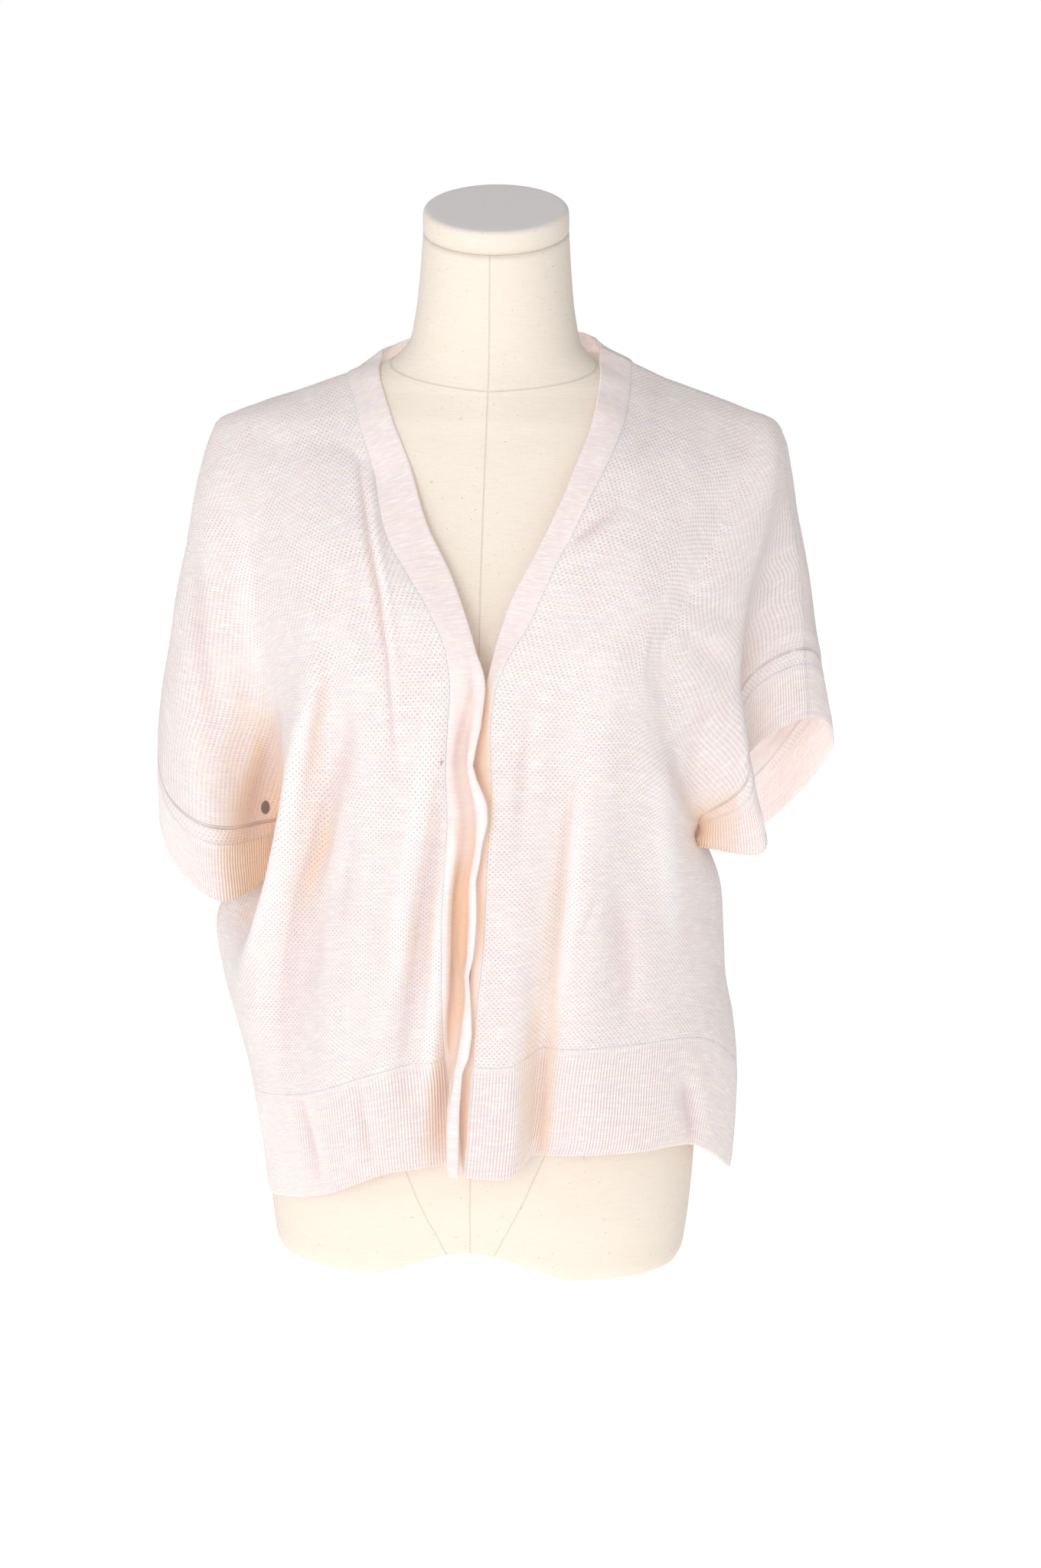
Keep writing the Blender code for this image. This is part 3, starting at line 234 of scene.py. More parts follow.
# Lines of the wearer's left side, in the same manner
LEFT_LINES = line_table("""
edge: 74 10 673, 75 -12 660, 76 -36 645, 75 -54 633, 71 -67 616, 65 -80 600, 54 -96 570,
  39 -106 538, 24 -113 507, 14 -118 475, 8 -121 448, 0 -116 420, -7 -110 395, -10 -108 370 |
  -10 -106 330, -9 -104 280, -8 -104 220, -8 -105 160, -4 -109 93;
seam: 97 8 663, 98 -12 651, 98 -36 637, 96 -58 624, 88 -84 602, 76 -102 577, 64 -112 551,
  56 -117 535, 47 -121 514, 36 -125 488, 23 -128 466, 15 -128 446, 12 -128 425, 13 -128 370 |
  12 -128 336, 11 -128 308, 9 -128 253, 5 -130 198, 2 -132 142, -1 -136 93;
inner: 110 8 657, 109 -14 647, 107 -38 634, 104 -59 619, 98 -80 602, 90 -97 577, 82 -109 551,
  76 -115 531, 66 -122 505, 55 -127 480, 44 -129 455, 37 -128 425, 35 -127 395, 34 -127 370 |
  33 -127 336, 31 -128 300, 30 -129 253, 30 -131 198, 30 -132 142, 31 -135 94;
furrow: 125 8 651, 124 -14 641, 122 -36 628, 119 -57 611, 113 -76 595, 106 -93 572,
  100 -105 550, 95 -113 528, 88 -120 503, 79 -125 477, 72 -125 450, 69 -123 420, 67 -121 391,
  65 -120 370 | 63 -119 336, 58 -117 280, 54 -115 224, 49 -111 167, 46 -110 104;
apex: 141 8 646, 140 -13 636, 138 -34 623, 135 -53 607, 130 -71 588, 125 -87 566, 119 -100 543,
  113 -110 521, 105 -118 496, 97 -124 470, 91 -127 440, 86 -128 415, 82 -128 392, 81 -128 370 |
  80 -128 338, 78 -128 283, 72 -127 227, 67 -124 170, 63 -119 107;
swag: 158 8 640, 157 -12 631, 155 -31 616, 152 -48 600, 148 -64 582, 142 -79 560, 136 -91 537,
  129 -101 514, 120 -111 490, 114 -116 465, 111 -117 440, 110 -117 415, 108 -117 392,
  105 -117 370 | 103 -115 336, 104 -112 300, 106 -110 252, 110 -108 200, 112 -107 150,
  113 -105 107;
hollow: 172 8 635, 172 -10 626, 170 -27 612, 167 -43 597, 162 -58 577, 154 -73 555, 146 -86 532,
  137 -97 509, 127 -106 488, 120 -111 468, 121 -110 443, 124 -107 418, 129 -103 396,
  136 -98 370, 140 -91 355 | 145 -82 336, 150 -74 312, 156 -64 280, 160 -60 240, 163 -58 200,
  162 -60 150, 157 -62 102;
side: 183 8 631, 185 -9 621, 184 -24 608, 180 -39 593, 173 -54 573, 165 -68 552, 155 -81 530,
  144 -92 508, 134 -101 488, 128 -104 470, 130 -101 445, 135 -96 420, 142 -85 393, 150 -68 367,
  158 -49 342 | 154 -33 326, 160 -17 313, 168 -5 299, 172 0 284, 175 2 246, 178 3 211,
  183 3 188, 187 2 159, 188 1 124, 187 0 95, 184 0 69;
fold: 194 8 627, 198 -5 619, 203 -16 609, 203 -27 597, 201 -37 576, 196 -46 553, 190 -54 527,
  182 -61 497, 180 -65 465, 182 -67 430, 188 -69 395, 196 -70 367 | 204 -68 323;
tuck: 201 7 623, 205 -2 614, 208 -9 602, 208 -15 585, 205 -21 560, 198 -28 533, 190 -34 505,
  182 -38 478, 179 -40 452, 180 -40 427 | 187 -36 382;
outer: 205 5 618, 208 1 606, 210 -1 590, 216 -4 553, 223 -7 515, 228 -9 471, 230 -10 456 |
  232 -10 411;
back tuck: 201 7 623, 208 14 609, 213 18 590, 218 22 560, 224 26 530, 232 30 490, 239 34 449,
  245 38 425 | 251 40 380;
back fold: 194 8 627, 202 22 611, 207 36 590, 210 48 560, 213 57 528, 215 63 495, 216 67 460,
  217 68 425, 217 64 372 | 213 52 328;
back side: 183 8 631, 186 26 617, 186 44 599, 184 58 577, 181 68 550, 178 74 520, 175 74 490,
  172 66 460, 169 50 428, 166 22 396, 161 -14 366, 158 -49 342 |;
back arm: 168 8 636, 170 28 624, 168 48 604, 164 64 577, 158 76 544, 152 83 508, 147 86 470,
  144 85 430, 142 79 395, 141 72 366 | 141 66 330, 143 66 280, 147 70 230, 150 76 190,
  152 82 150, 152 85 110, 150 84 67;
blade: 126 8 650, 127 30 640, 124 52 618, 117 72 590, 109 87 553, 102 95 515, 97 99 470,
  93 100 430, 91 99 395, 90 97 366 | 90 96 330, 91 97 280, 94 102 230, 97 109 190, 99 115 150,
  100 119 110, 99 118 63;
back neck: 97 8 663, 95 30 654, 88 49 639, 78 67 614, 66 82 584, 58 92 547, 52 98 509,
  49 102 468, 47 104 430, 46 104 395, 45 103 364 | 45 102 330, 45 105 280, 46 110 230,
  48 116 190, 49 121 150, 50 125 110, 50 124 60;
""")

# Line down the centre of the back, above the underarm level and below it
CENTRE_BACK = (
    ((0, 64, 660), (0, 73, 638), (0, 82, 610), (0, 90, 575), (0, 97, 540),
     (0, 101, 505), (0, 103, 468), (0, 105, 430), (0, 105, 395), (0, 105, 356)),
    ((0, 104, 320), (0, 105, 280), (0, 109, 235), (0, 115, 190), (0, 120, 150),
     (0, 124, 110), (0, 123, 58)))

# Top edge of the neck band behind the neck: x, y, z
NECK_EDGE = ((-81, 8, 666), (-71, 27, 671), (-46, 48, 678), (0, 60, 682),
             (46, 48, 681), (66, 28, 679), (74, 10, 673))

# Order of the lines round each side
RIGHT_FRONT = ("seam", "inner", "apex", "furrow", "swag", "hollow", "side")
LEFT_FRONT = ("seam", "inner", "furrow", "apex", "swag", "hollow", "side")
SLEEVE_FRONT = ("side", "fold", "tuck", "outer")
SLEEVE_BACK = ("outer", "back tuck", "back fold", "back side")
SLEEVE_LINES = ("fold", "tuck", "outer", "back tuck", "back fold")
BODY_BACK = ("back side", "back arm", "blade", "back neck")

# Falls of the band between its edge and its seam: height, depth, millimetres
BAND_FALL = {
    "right": ((700, 0), (455, 0), (415, 5), (360, 8), (300, 11), (250, 13),
              (200, 12), (150, 5), (90, 1)),
    "left": ((700, 0), (455, 0), (425, 1), (380, 2), (90, 2)),
}

# Smaller creases: side, start x and z, end x and z, half width, depth.
# A positive depth goes in, a negative one stands out.
CREASES = (
    ("right", (-98, 615), (-56, 372), 11, 4.5),
    ("right", (-33, 330), (-42, 95), 9, 5.0),
    ("left", (136, 602), (70, 548), 12, 6.0),
    ("left", (162, 578), (62, 527), 13, 3.0),
    ("left", (150, 160), (156, 92), 10, 4.0),
    ("right", (-85, 160), (-56, 84), 10, 3.0),
)

# Under corner of each cuff: at its seam, at its free edge
CUFF_CORNERS = {
    "right": ((-150, -17, 314), (-151, -22, 286)),
    "left": ((150, -46, 334), (152, -45, 320)),
}

# Free edge of the right band as it lies over the closing: height, x of the
# left border of its flat strip, x of the edge
EDGE_STRIP = (
    (97, -11.6, -5.0), (114, -12.9, -5.3), (142, -12.3, -5.7), (170, -9.4, -4.0),
    (181, -6.4, 0.1), (198, -2.3, 2.0), (226, -3.8, 0.5), (240, -5.7, -0.3),
    (254, -3.2, 2.2), (281, -0.9, 3.9), (309, -1.9, 3.4), (323, 0.5, 5.9),
    (336, 4.1, 7.3), (350, 7.0, 10.8), (364, 7.9, 10.6), (372, 4.5, 7.2),
    (380, 0.1, 3.3), (391, -2.2, -0.1), (404, -0.8, 1.9), (418, 1.6, 4.8),
    (431, 2.5, 6.2), (445, 3.3, 7.6))

# Valley of the right band beside that strip: height, x of its far wall, depth
EDGE_VALLEY = (
    (97, -30.0, 10.0), (113, -29.9, 10.0), (141, -27.5, 11.0), (170, -25.2, 12.0),
    (198, -17.5, 13.0), (226, -16.8, 13.0), (253, -14.0, 13.0), (281, -15.0, 12.0),
    (308, -13.8, 11.0), (336, -16.9, 10.0), (363, -14.6, 9.0), (390, -16.1, 9.0),
    (418, -10.1, 7.0), (445, -5.2, 4.0), (461, -3.9, 1.0))

# Heights between which the band changes from lying flat to that valley
VALLEY_FROM = 470.0
VALLEY_FULL = 438.0

# Soft creases that only the fine cloth has: face, half width, depth, and x and
# z of points down the crease.  A positive depth goes in, a negative one stands out.
SOFT_CREASES = (
    ("front", 5, 3.0, "-126 143, -116 107, -107 70"),
    ("front", 4, 2.4, "-83 167, -75 127, -68 88"),
    ("front", 6, 2.2, "41 461, 34 394, 31 344, 34 298"),
    ("front", 3.5, 2.8, "67 390, 64 346, 61 295, 57 247, 53 202"),
    ("front", 6, -2.2, "76 391, 74 347, 71 295, 67 247, 63 202"),
    ("front", 4.5, 2.6, "53 207, 51 151, 49 89"),
    ("front", 3, 2.0, "72 153, 69 130, 63 107"),
    ("front", 3, 2.2, "89 299, 82 284, 73 266"),
    ("front", 8, 2.4, "101 308, 107 258, 112 203"),
    ("front", 9, -2.2, "128 390, 134 324, 142 247"),
    ("front", 5, 3.2, "150 156, 155 131, 160 103"),
    ("front", 9, 2.4, "-210 537, -203 454, -192 382"),
    ("front", 9, -2.0, "-175 572, -168 485, -160 430"),
    ("front", 8, 1.6, "128 501, 157 469, 181 442"),
    ("front", 9, 1.6, "174 453, 151 409, 150 354"),
    ("front", 6.5, 6.0, "-8 453, -9 396, -3 333, -8 298, -8 225, -12 200, -18 144, -25 81"),
    ("front", 7, 2.8, "-16 411, -19 371, -26 328, -33 290, -38 245, -45 200, -51 132"),
    ("front", 4, -2.0, "-10 367, -14 334, -21 290, -25 223, -29 156"),
    ("front", 8, -2.4, "-32 459, -32 410, -38 355, -48 289, -55 211"),
    ("front", 8, 4.0, "-142 429, -152 384, -164 339, -171 299"),
    ("front", 7, 2.2, "-81 418, -85 352, -90 275, -92 197"),
    ("front", 4, 3.2, "60 542, 77 554, 101 573"),
    ("front", 7, 1.6, "134 515, 162 494, 192 479"),
    ("front", 2.5, -1.4, "2 441, -3 390, 1 374, 8 357, 5 330, 1 308, 4 247, 1 203, -3 147"),
    ("front", 13, 2.8, "-102 375, -109 314, -116 246, -127 195, -146 132"),
    ("front", 3, 4.4,
     "-92 610, -87 584, -82 560, -76 533, -70 508, -66 482, -62 455, -59 423, -55 379"),
    ("front", 3.5, -1.4, "-88 610, -83 584, -78 560, -71 533, -65 509, -61 482, -58 455, -54 423"),
    ("front", 7, 3.8, "-85 442, -90 409, -97 377, -109 324, -123 287, -135 235, -147 173"),
    ("front", 6, -2.4, "-110 461, -121 406, -129 355, -143 305, -156 265, -172 213"),
    ("back", 12, 2.2, "-60 560, -40 480, -34 380"),
    ("back", 12, 2.0, "70 550, 46 470, 38 360"),
    ("back", 11, 2.6, "-150 420, -128 330, -118 200"),
    ("back", 11, 2.4, "152 430, 126 340, 112 210"),
    ("back", 12, 1.8, "-24 300, -18 200, -22 110"),
    ("back", 11, 2.0, "70 260, 76 180, 74 100"),
    ("back", 10, 2.2, "-196 520, -186 440, -184 350"),
    ("back", 10, 2.0, "200 530, 192 470, 196 400"),
)

# Looks out from the cloth: tilt and turn of each, start off the cloth, reach
LOOKS = [(0.0, 0.0)]
LOOKS += [(math.radians(36), math.radians(90 * k + 20)) for k in range(4)]
LOOKS += [(math.radians(64), math.radians(60 * k)) for k in range(6)]
LOOK_START = 2.0
LOOK_REACH = 60.0

# Share of their painted shade that hidden places on the outer side give as a painted glow; crease,
# painted shade and painted glow of the inner side
OUTSIDE_GLOW = 0.45
INSIDE_PAINTED_LIGHT = (0.0, 0.16, 0.70)

# How a soft crease fades: the facing where it starts and where it is whole, the
# power of its ends, and its lips, as a share of its depth and in half widths away
CREASE_FACING = (-0.1, 0.35)
CREASE_ENDS = 0.7
LIP_SHARE = 0.3
LIP_AWAY = 2.0

# Size of the cloth's own unevenness: wavelength, height; share at the borders
UNEVEN = ((46.0, 0.9), (17.0, 0.28))
UNEVEN_BORDER = 0.5

# Rounds of smoothing: of the whole cloth, of the sleeve ends with the rings of
# faces beside them, of the painted light that the looks read and of the bands' thickness
CLOTH_ROUNDS = 6
END_ROUNDS = 36
END_RINGS = 5
PAINTED_LIGHT_ROUNDS = 3
BAND_ROUNDS = 4

# Times the cloth is moved clear of the form and softened again, and how much
CLEAR_ROUNDS = 2
CLEAR_SOFTENING = 0.3


# Curves

class Path:
    """Smooth curve through points, read at distances along its chords."""

    def __init__(self, points):
        p = np.array(points, float)
        step = np.maximum(np.linalg.norm(np.diff(p, axis=0), axis=1), 1e-3)
        chord = np.diff(p, axis=0) / step[:, None]
        slope = np.empty_like(p)
        slope[0] = chord[0]
        slope[-1] = chord[-1]
        before = step[:-1, None]
        after = step[1:, None]
        slope[1:-1] = (chord[:-1] * after + chord[1:] * before) / (before + after)
        self.points = p
        self.slope = slope
        self.at = np.concatenate(([0.0], np.cumsum(step)))
        self.length = self.at[-1]

    def read(self, distances):
        d = np.clip(np.asarray(distances, float), 0.0, self.length)
        k = np.clip(np.searchsorted(self.at, d, side="right") - 1, 0, len(self.at) - 2)
        span = (self.at[k + 1] - self.at[k])[..., None]
        u = (d - self.at[k])[..., None] / span
        u2 = u * u
        u3 = u2 * u
        return (self.points[k] * (2 * u3 - 3 * u2 + 1)
                + self.slope[k] * span * (u3 - 2 * u2 + u)
                + self.points[k + 1] * (3 * u2 - 2 * u3)
                + self.slope[k + 1] * span * (u3 - u2))


def unit(vectors):
    return vectors / np.maximum(np.linalg.norm(vectors, axis=-1, keepdims=True), 1e-9)


def smoothstep(low, high, x):
    t = np.clip((x - low) / (high - low), 0.0, 1.0)
    return t * t * (3.0 - 2.0 * t)


# Dress form

def bust(x, z):
    """How far the bust stands out in front."""
    side = np.abs(x) - BUST_HALF_SPACING
    spread = np.where(side > 0, BUST_RADIUS, BUST_RADIUS * BUST_OUTWARD)
    reach = BUST_ABOVE if z > BUST_HEIGHT else BUST_BELOW
    across_it = np.exp(-(side / spread) ** 2)
    return BUST_DEPTH * across_it * math.exp(-((z - BUST_HEIGHT) / reach) ** 2)


def arch(x, height):
    """Rise of the underside between the two thigh stubs."""
    u = np.minimum(np.abs(x) / CROTCH_HALF_WIDTH, 1.0)
    share = max(0.0, 1.0 - height / CROTCH_FADE)
    return CROTCH_RISE * share * np.cos(0.5 * math.pi * u) ** 1.5


def form_ring(height, width, front, behind, squareness):
    """Points round one section, tilted as the neck leans."""
    power = 2.0 / squareness
    rise = max(0.0, (height - NECK_FOOT) / (NECK_TOP - NECK_FOOT))
    tilt = math.tan(NECK_TILT) * rise * rise * (3.0 - 2.0 * min(rise, 1.0))
    a = 2.0 * math.pi * (np.arange(FORM_SIDES) + 0.5) / FORM_SIDES
    c = np.cos(a)
    s = np.sin(a)
    x = width * np.sign(c) * np.abs(c) ** power
    y = np.where(s > 0, behind, front) * np.sign(s) * np.abs(s) ** power
    y = y - np.where(s < 0, bust(x, height) * np.abs(s) ** 0.5, 0.0)
    z = height + tilt * y + arch(x, height)
    return np.stack((x, y - NECK_LEAN * rise, z), axis=1)


def form_rings():
    """Rings of the form from the middle of its underside to the neck."""
    base = form_ring(*FORM_SECTIONS[0])
    rings = []
    for share, height in reversed(FOOT_RINGS):
        ring = base * (share, share, 0.0)
        ring[:, 2] = height + arch(ring[:, 0], height)
        rings.append(ring)
    rings += [form_ring(*row) for row in FORM_SECTIONS]
    coarse = np.array(rings)
    fine = []
    paths = [Path(coarse[:, i]) for i in range(FORM_SIDES)]
    for k in range(len(coarse) - 1):
        step = np.linalg.norm(coarse[k + 1] - coarse[k], axis=1).mean()
        parts = max(1, round(step / FORM_STEP))
        for j in range(parts):
            fine.append([p.read(p.at[k] + (p.at[k + 1] - p.at[k]) * j / parts) for p in paths])
    fine.append(coarse[-1])
    fine = np.array(fine)
    fine[:, :, 2] = np.maximum(fine[:, :, 2], 0.0)
    return fine


def close_rings(rings):
    """Points and faces of a closed solid through rings from the bottom up."""
    count, sides, _ = rings.shape
    points = rings.reshape(-1, 3)
    foot = rings[0].mean(axis=0)
    foot[2] = rings[0][:, 2].max()
    points = np.concatenate((points, [foot], [rings[-1].mean(axis=0)]))
    i = np.arange(sides)
    j = (i + 1) % sides
    faces = []
    for k in range(count - 1):
        low = k * sides
        high = low + sides
        faces += np.stack((low + i, low + j, high + j, high + i), axis=1).tolist()
    first = count * sides
    faces += np.stack((np.full(sides, first), j, i), axis=1).tolist()
    last = (count - 1) * sides
    faces += np.stack((last + i, last + j, np.full(sides, first + 1)), axis=1).tolist()
    return points, faces


def cap_rings():
    up = np.array((0.0, -math.sin(NECK_TILT), math.cos(NECK_TILT)))
    behind = np.array((0.0, math.cos(NECK_TILT), math.sin(NECK_TILT)))
    base = np.array((0.0, -NECK_LEAN, NECK_TOP)) + up * CAP_GAP
    profile = list(CAP_SIDE)
    for k in range(1, CAP_ARC + 1):
        a = 0.5 * math.pi * k / CAP_ARC
        inset = CAP_ROUNDING * (1.0 - math.cos(a)) / CAP_HALF_WIDTH
        profile.append((1.0 - inset, CAP_THICKNESS - CAP_ROUNDING * (1.0 - math.sin(a))))
    profile += [(share, CAP_THICKNESS) for share in CAP_TOP]
    a = 2.0 * math.pi * (np.arange(FORM_SIDES) + 0.5) / FORM_SIDES
    rings = []
    for share, lift in profile:
        rings.append(base + up * lift
                     + np.cos(a)[:, None] * (CAP_HALF_WIDTH * share, 0.0, 0.0)
                     + np.sin(a)[:, None] * behind * (CAP_HALF_DEPTH * share))
    return np.array(rings)


# Cloth

def grid_quads(ids):
    """Faces between the rows and columns of a grid of point numbers."""
    return np.stack((ids[:-1, :-1], ids[:-1, 1:], ids[1:, 1:], ids[1:, :-1]),
                    axis=-1).reshape(-1, 4)


class Sheet:
    """All the cloth as one sheet of shared points, cut into named pieces."""

    def __init__(self):
        self.rows = []
        self.count = 0
        self.quads = {}
        self.flat = {}
        self.ends = []

    def add(self, row):
        """Numbers of the points of one row."""
        self.rows.append(np.asarray(row, float))
        first = self.count
        self.count += len(row)
        return np.arange(first, self.count)

    def strip(self, piece, ids, flat, first, last):
        """Faces between rows of point numbers, columns first to last."""
        ids = np.asarray(ids)[:, first:last + 1]
        flat = np.asarray(flat)[:, first:last + 1]
        self.quads.setdefault(piece, []).append(grid_quads(ids))
        self.flat.setdefault(piece, []).append((ids.ravel(), flat.reshape(-1, 2)))

    def points(self):
        return np.concatenate(self.rows)


def shares(count):
    return np.arange(count + 1) / count


def down_points(upper, lower, sleeve=False):
    """Points of one line: upper rows, then the rows below the underarm."""
    whole = Path(list(upper) + list(lower))
    under = whole.at[len(upper) - 1]
    if sleeve:
        return whole.read((under - SLEEVE_END) * shares(UPPER_ROWS)), None
    top = whole.read(under * shares(UPPER_ROWS))
    if not lower:
        return top, None
    seam = whole.length - HEM_DEPTH
    low = whole.read(under + (seam - under) * shares(LOWER_ROWS)[1:])
    hem = whole.read(seam + HEM_DEPTH * shares(HEM_ROWS)[1:])
    return top, np.concatenate((low, hem))


def across(knots, counts):
    """Points through the knots with the given columns between them."""
    path = Path(knots)
    marks = [0.0]
    for a, b, n in zip(path.at, path.at[1:], counts):
        marks.extend(a + (b - a) * (i + 1) / n for i in range(n))
    return path.read(marks)


def share_out(total, widths):
    """Whole numbers of columns in the ratio of the widths."""
    ends = np.round(np.cumsum(widths) / sum(widths) * total).astype(int)
    return [int(n) for n in np.diff(np.concatenate(([0], ends)))]


def widths_between(names, downs):
    """Mean distance from each line to the next, the wider of the two stretches."""
    found = []
    for a, b in zip(names, names[1:]):
        gaps = [np.linalg.norm(downs[a][0] - downs[b][0], axis=1).mean()]
        if downs[a][1] is not None and downs[b][1] is not None:
            gaps.append(np.linalg.norm(downs[a][1] - downs[b][1], axis=1).mean())
        found.append(max(gaps))
    return found


def crease_shift(side, points):
    """Depth of the part's own creases at points of the front."""
    total = np.zeros(len(points))
    for where, start, end, half_width, depth in CREASES:
        if where != side:
            continue
        dx = end[0] - start[0]
        dz = end[1] - start[1]
        length = math.hypot(dx, dz)
        rx = points[:, 0] - start[0]
        rz = points[:, 2] - start[1]
        s = (rx * dx + rz * dz) / length ** 2
        off = (rx * dz - rz * dx) / length
        ends = np.sin(math.pi * np.clip(s, 0.0, 1.0)) ** 0.5
        total += depth * ends * np.exp(-(off / half_width) ** 2)
    return total


def band_rows(lines, side):
    """Rows of a front band from its free edge to its seam."""
    edge = np.concatenate(down_points(*lines["edge"]))
    seam = np.concatenate(down_points(*lines["seam"]))
    fall_table = np.array(BAND_FALL[side][::-1], float)
    strip_table = np.array(EDGE_STRIP)
    valley_table = np.array(EDGE_VALLEY)
    u = shares(BAND_ACROSS)[:, None]
    rows = []
    for e, s in zip(edge, seam):
        plain = e * (1.0 - u) + s * u
        fall = np.interp(s[2], fall_table[:, 0], fall_table[:, 1])
        blend = 0.0
        if side == "right":
            blend = 1.0 - smoothstep(VALLEY_FULL, VALLEY_FROM, e[2])
        row = plain.copy()
        row[:, 1] += fall * np.sin(math.pi * u[:, 0]) * (1.0 - blend)
        if blend > 0.0:
            left = np.interp(e[2], strip_table[:, 0], strip_table[:, 1])
            right = np.interp(e[2], strip_table[:, 0], strip_table[:, 2])
            wall = max(np.interp(e[2], valley_table[:, 0], valley_table[:, 1]), s[0] + 1.5)
            depth = np.interp(e[2], valley_table[:, 0], valley_table[:, 2])
            # Free edge, middle and border of the strip, foot of the valley's wall,
            # top of the wall and seam
            knots = ((right, e[1] + 0.6, e[2]), (0.5 * (left + right), e[1], e[2]),
                     (left, e[1] + 0.4, e[2]),
                     (0.45 * left + 0.55 * wall, e[1] + depth, 0.6 * e[2] + 0.4 * s[2]),
                     (wall, s[1] - 1.0, 0.1 * e[2] + 0.9 * s[2]), tuple(s))
            path = Path(knots)
            row = row * (1.0 - blend) + path.read(path.length * u[:, 0]) * blend
            row[-1] = s
        rows.append(row)
    return rows


def measured(grid, origin):
    """Distance along each row from the origin column."""
    steps = np.linalg.norm(np.diff(grid, axis=1), axis=2)
    at = np.concatenate((np.zeros((len(grid), 1)), np.cumsum(steps, axis=1)), axis=1)
    return np.abs(at - at[:, origin:origin + 1])


def flat_grid(grid, origin, heights):
    """Place of every point on the cloth laid flat: across and down."""
    return np.stack((measured(grid, origin),
                     np.repeat(np.asarray(heights)[:, None], grid.shape[1], axis=1)), axis=2)


def rows_between(sheet, ids, start, stop, count):
    """Point numbers and points of closed rows from one row to another."""
    numbers = [ids]
    rows = [start]
    for s in shares(count)[1:]:
        rows.append(start * (1.0 - s) + stop * s)
        ids = sheet.add(rows[-1])
        ids[-1] = ids[0]
        numbers.append(ids)
    return np.array(numbers), np.array(rows)


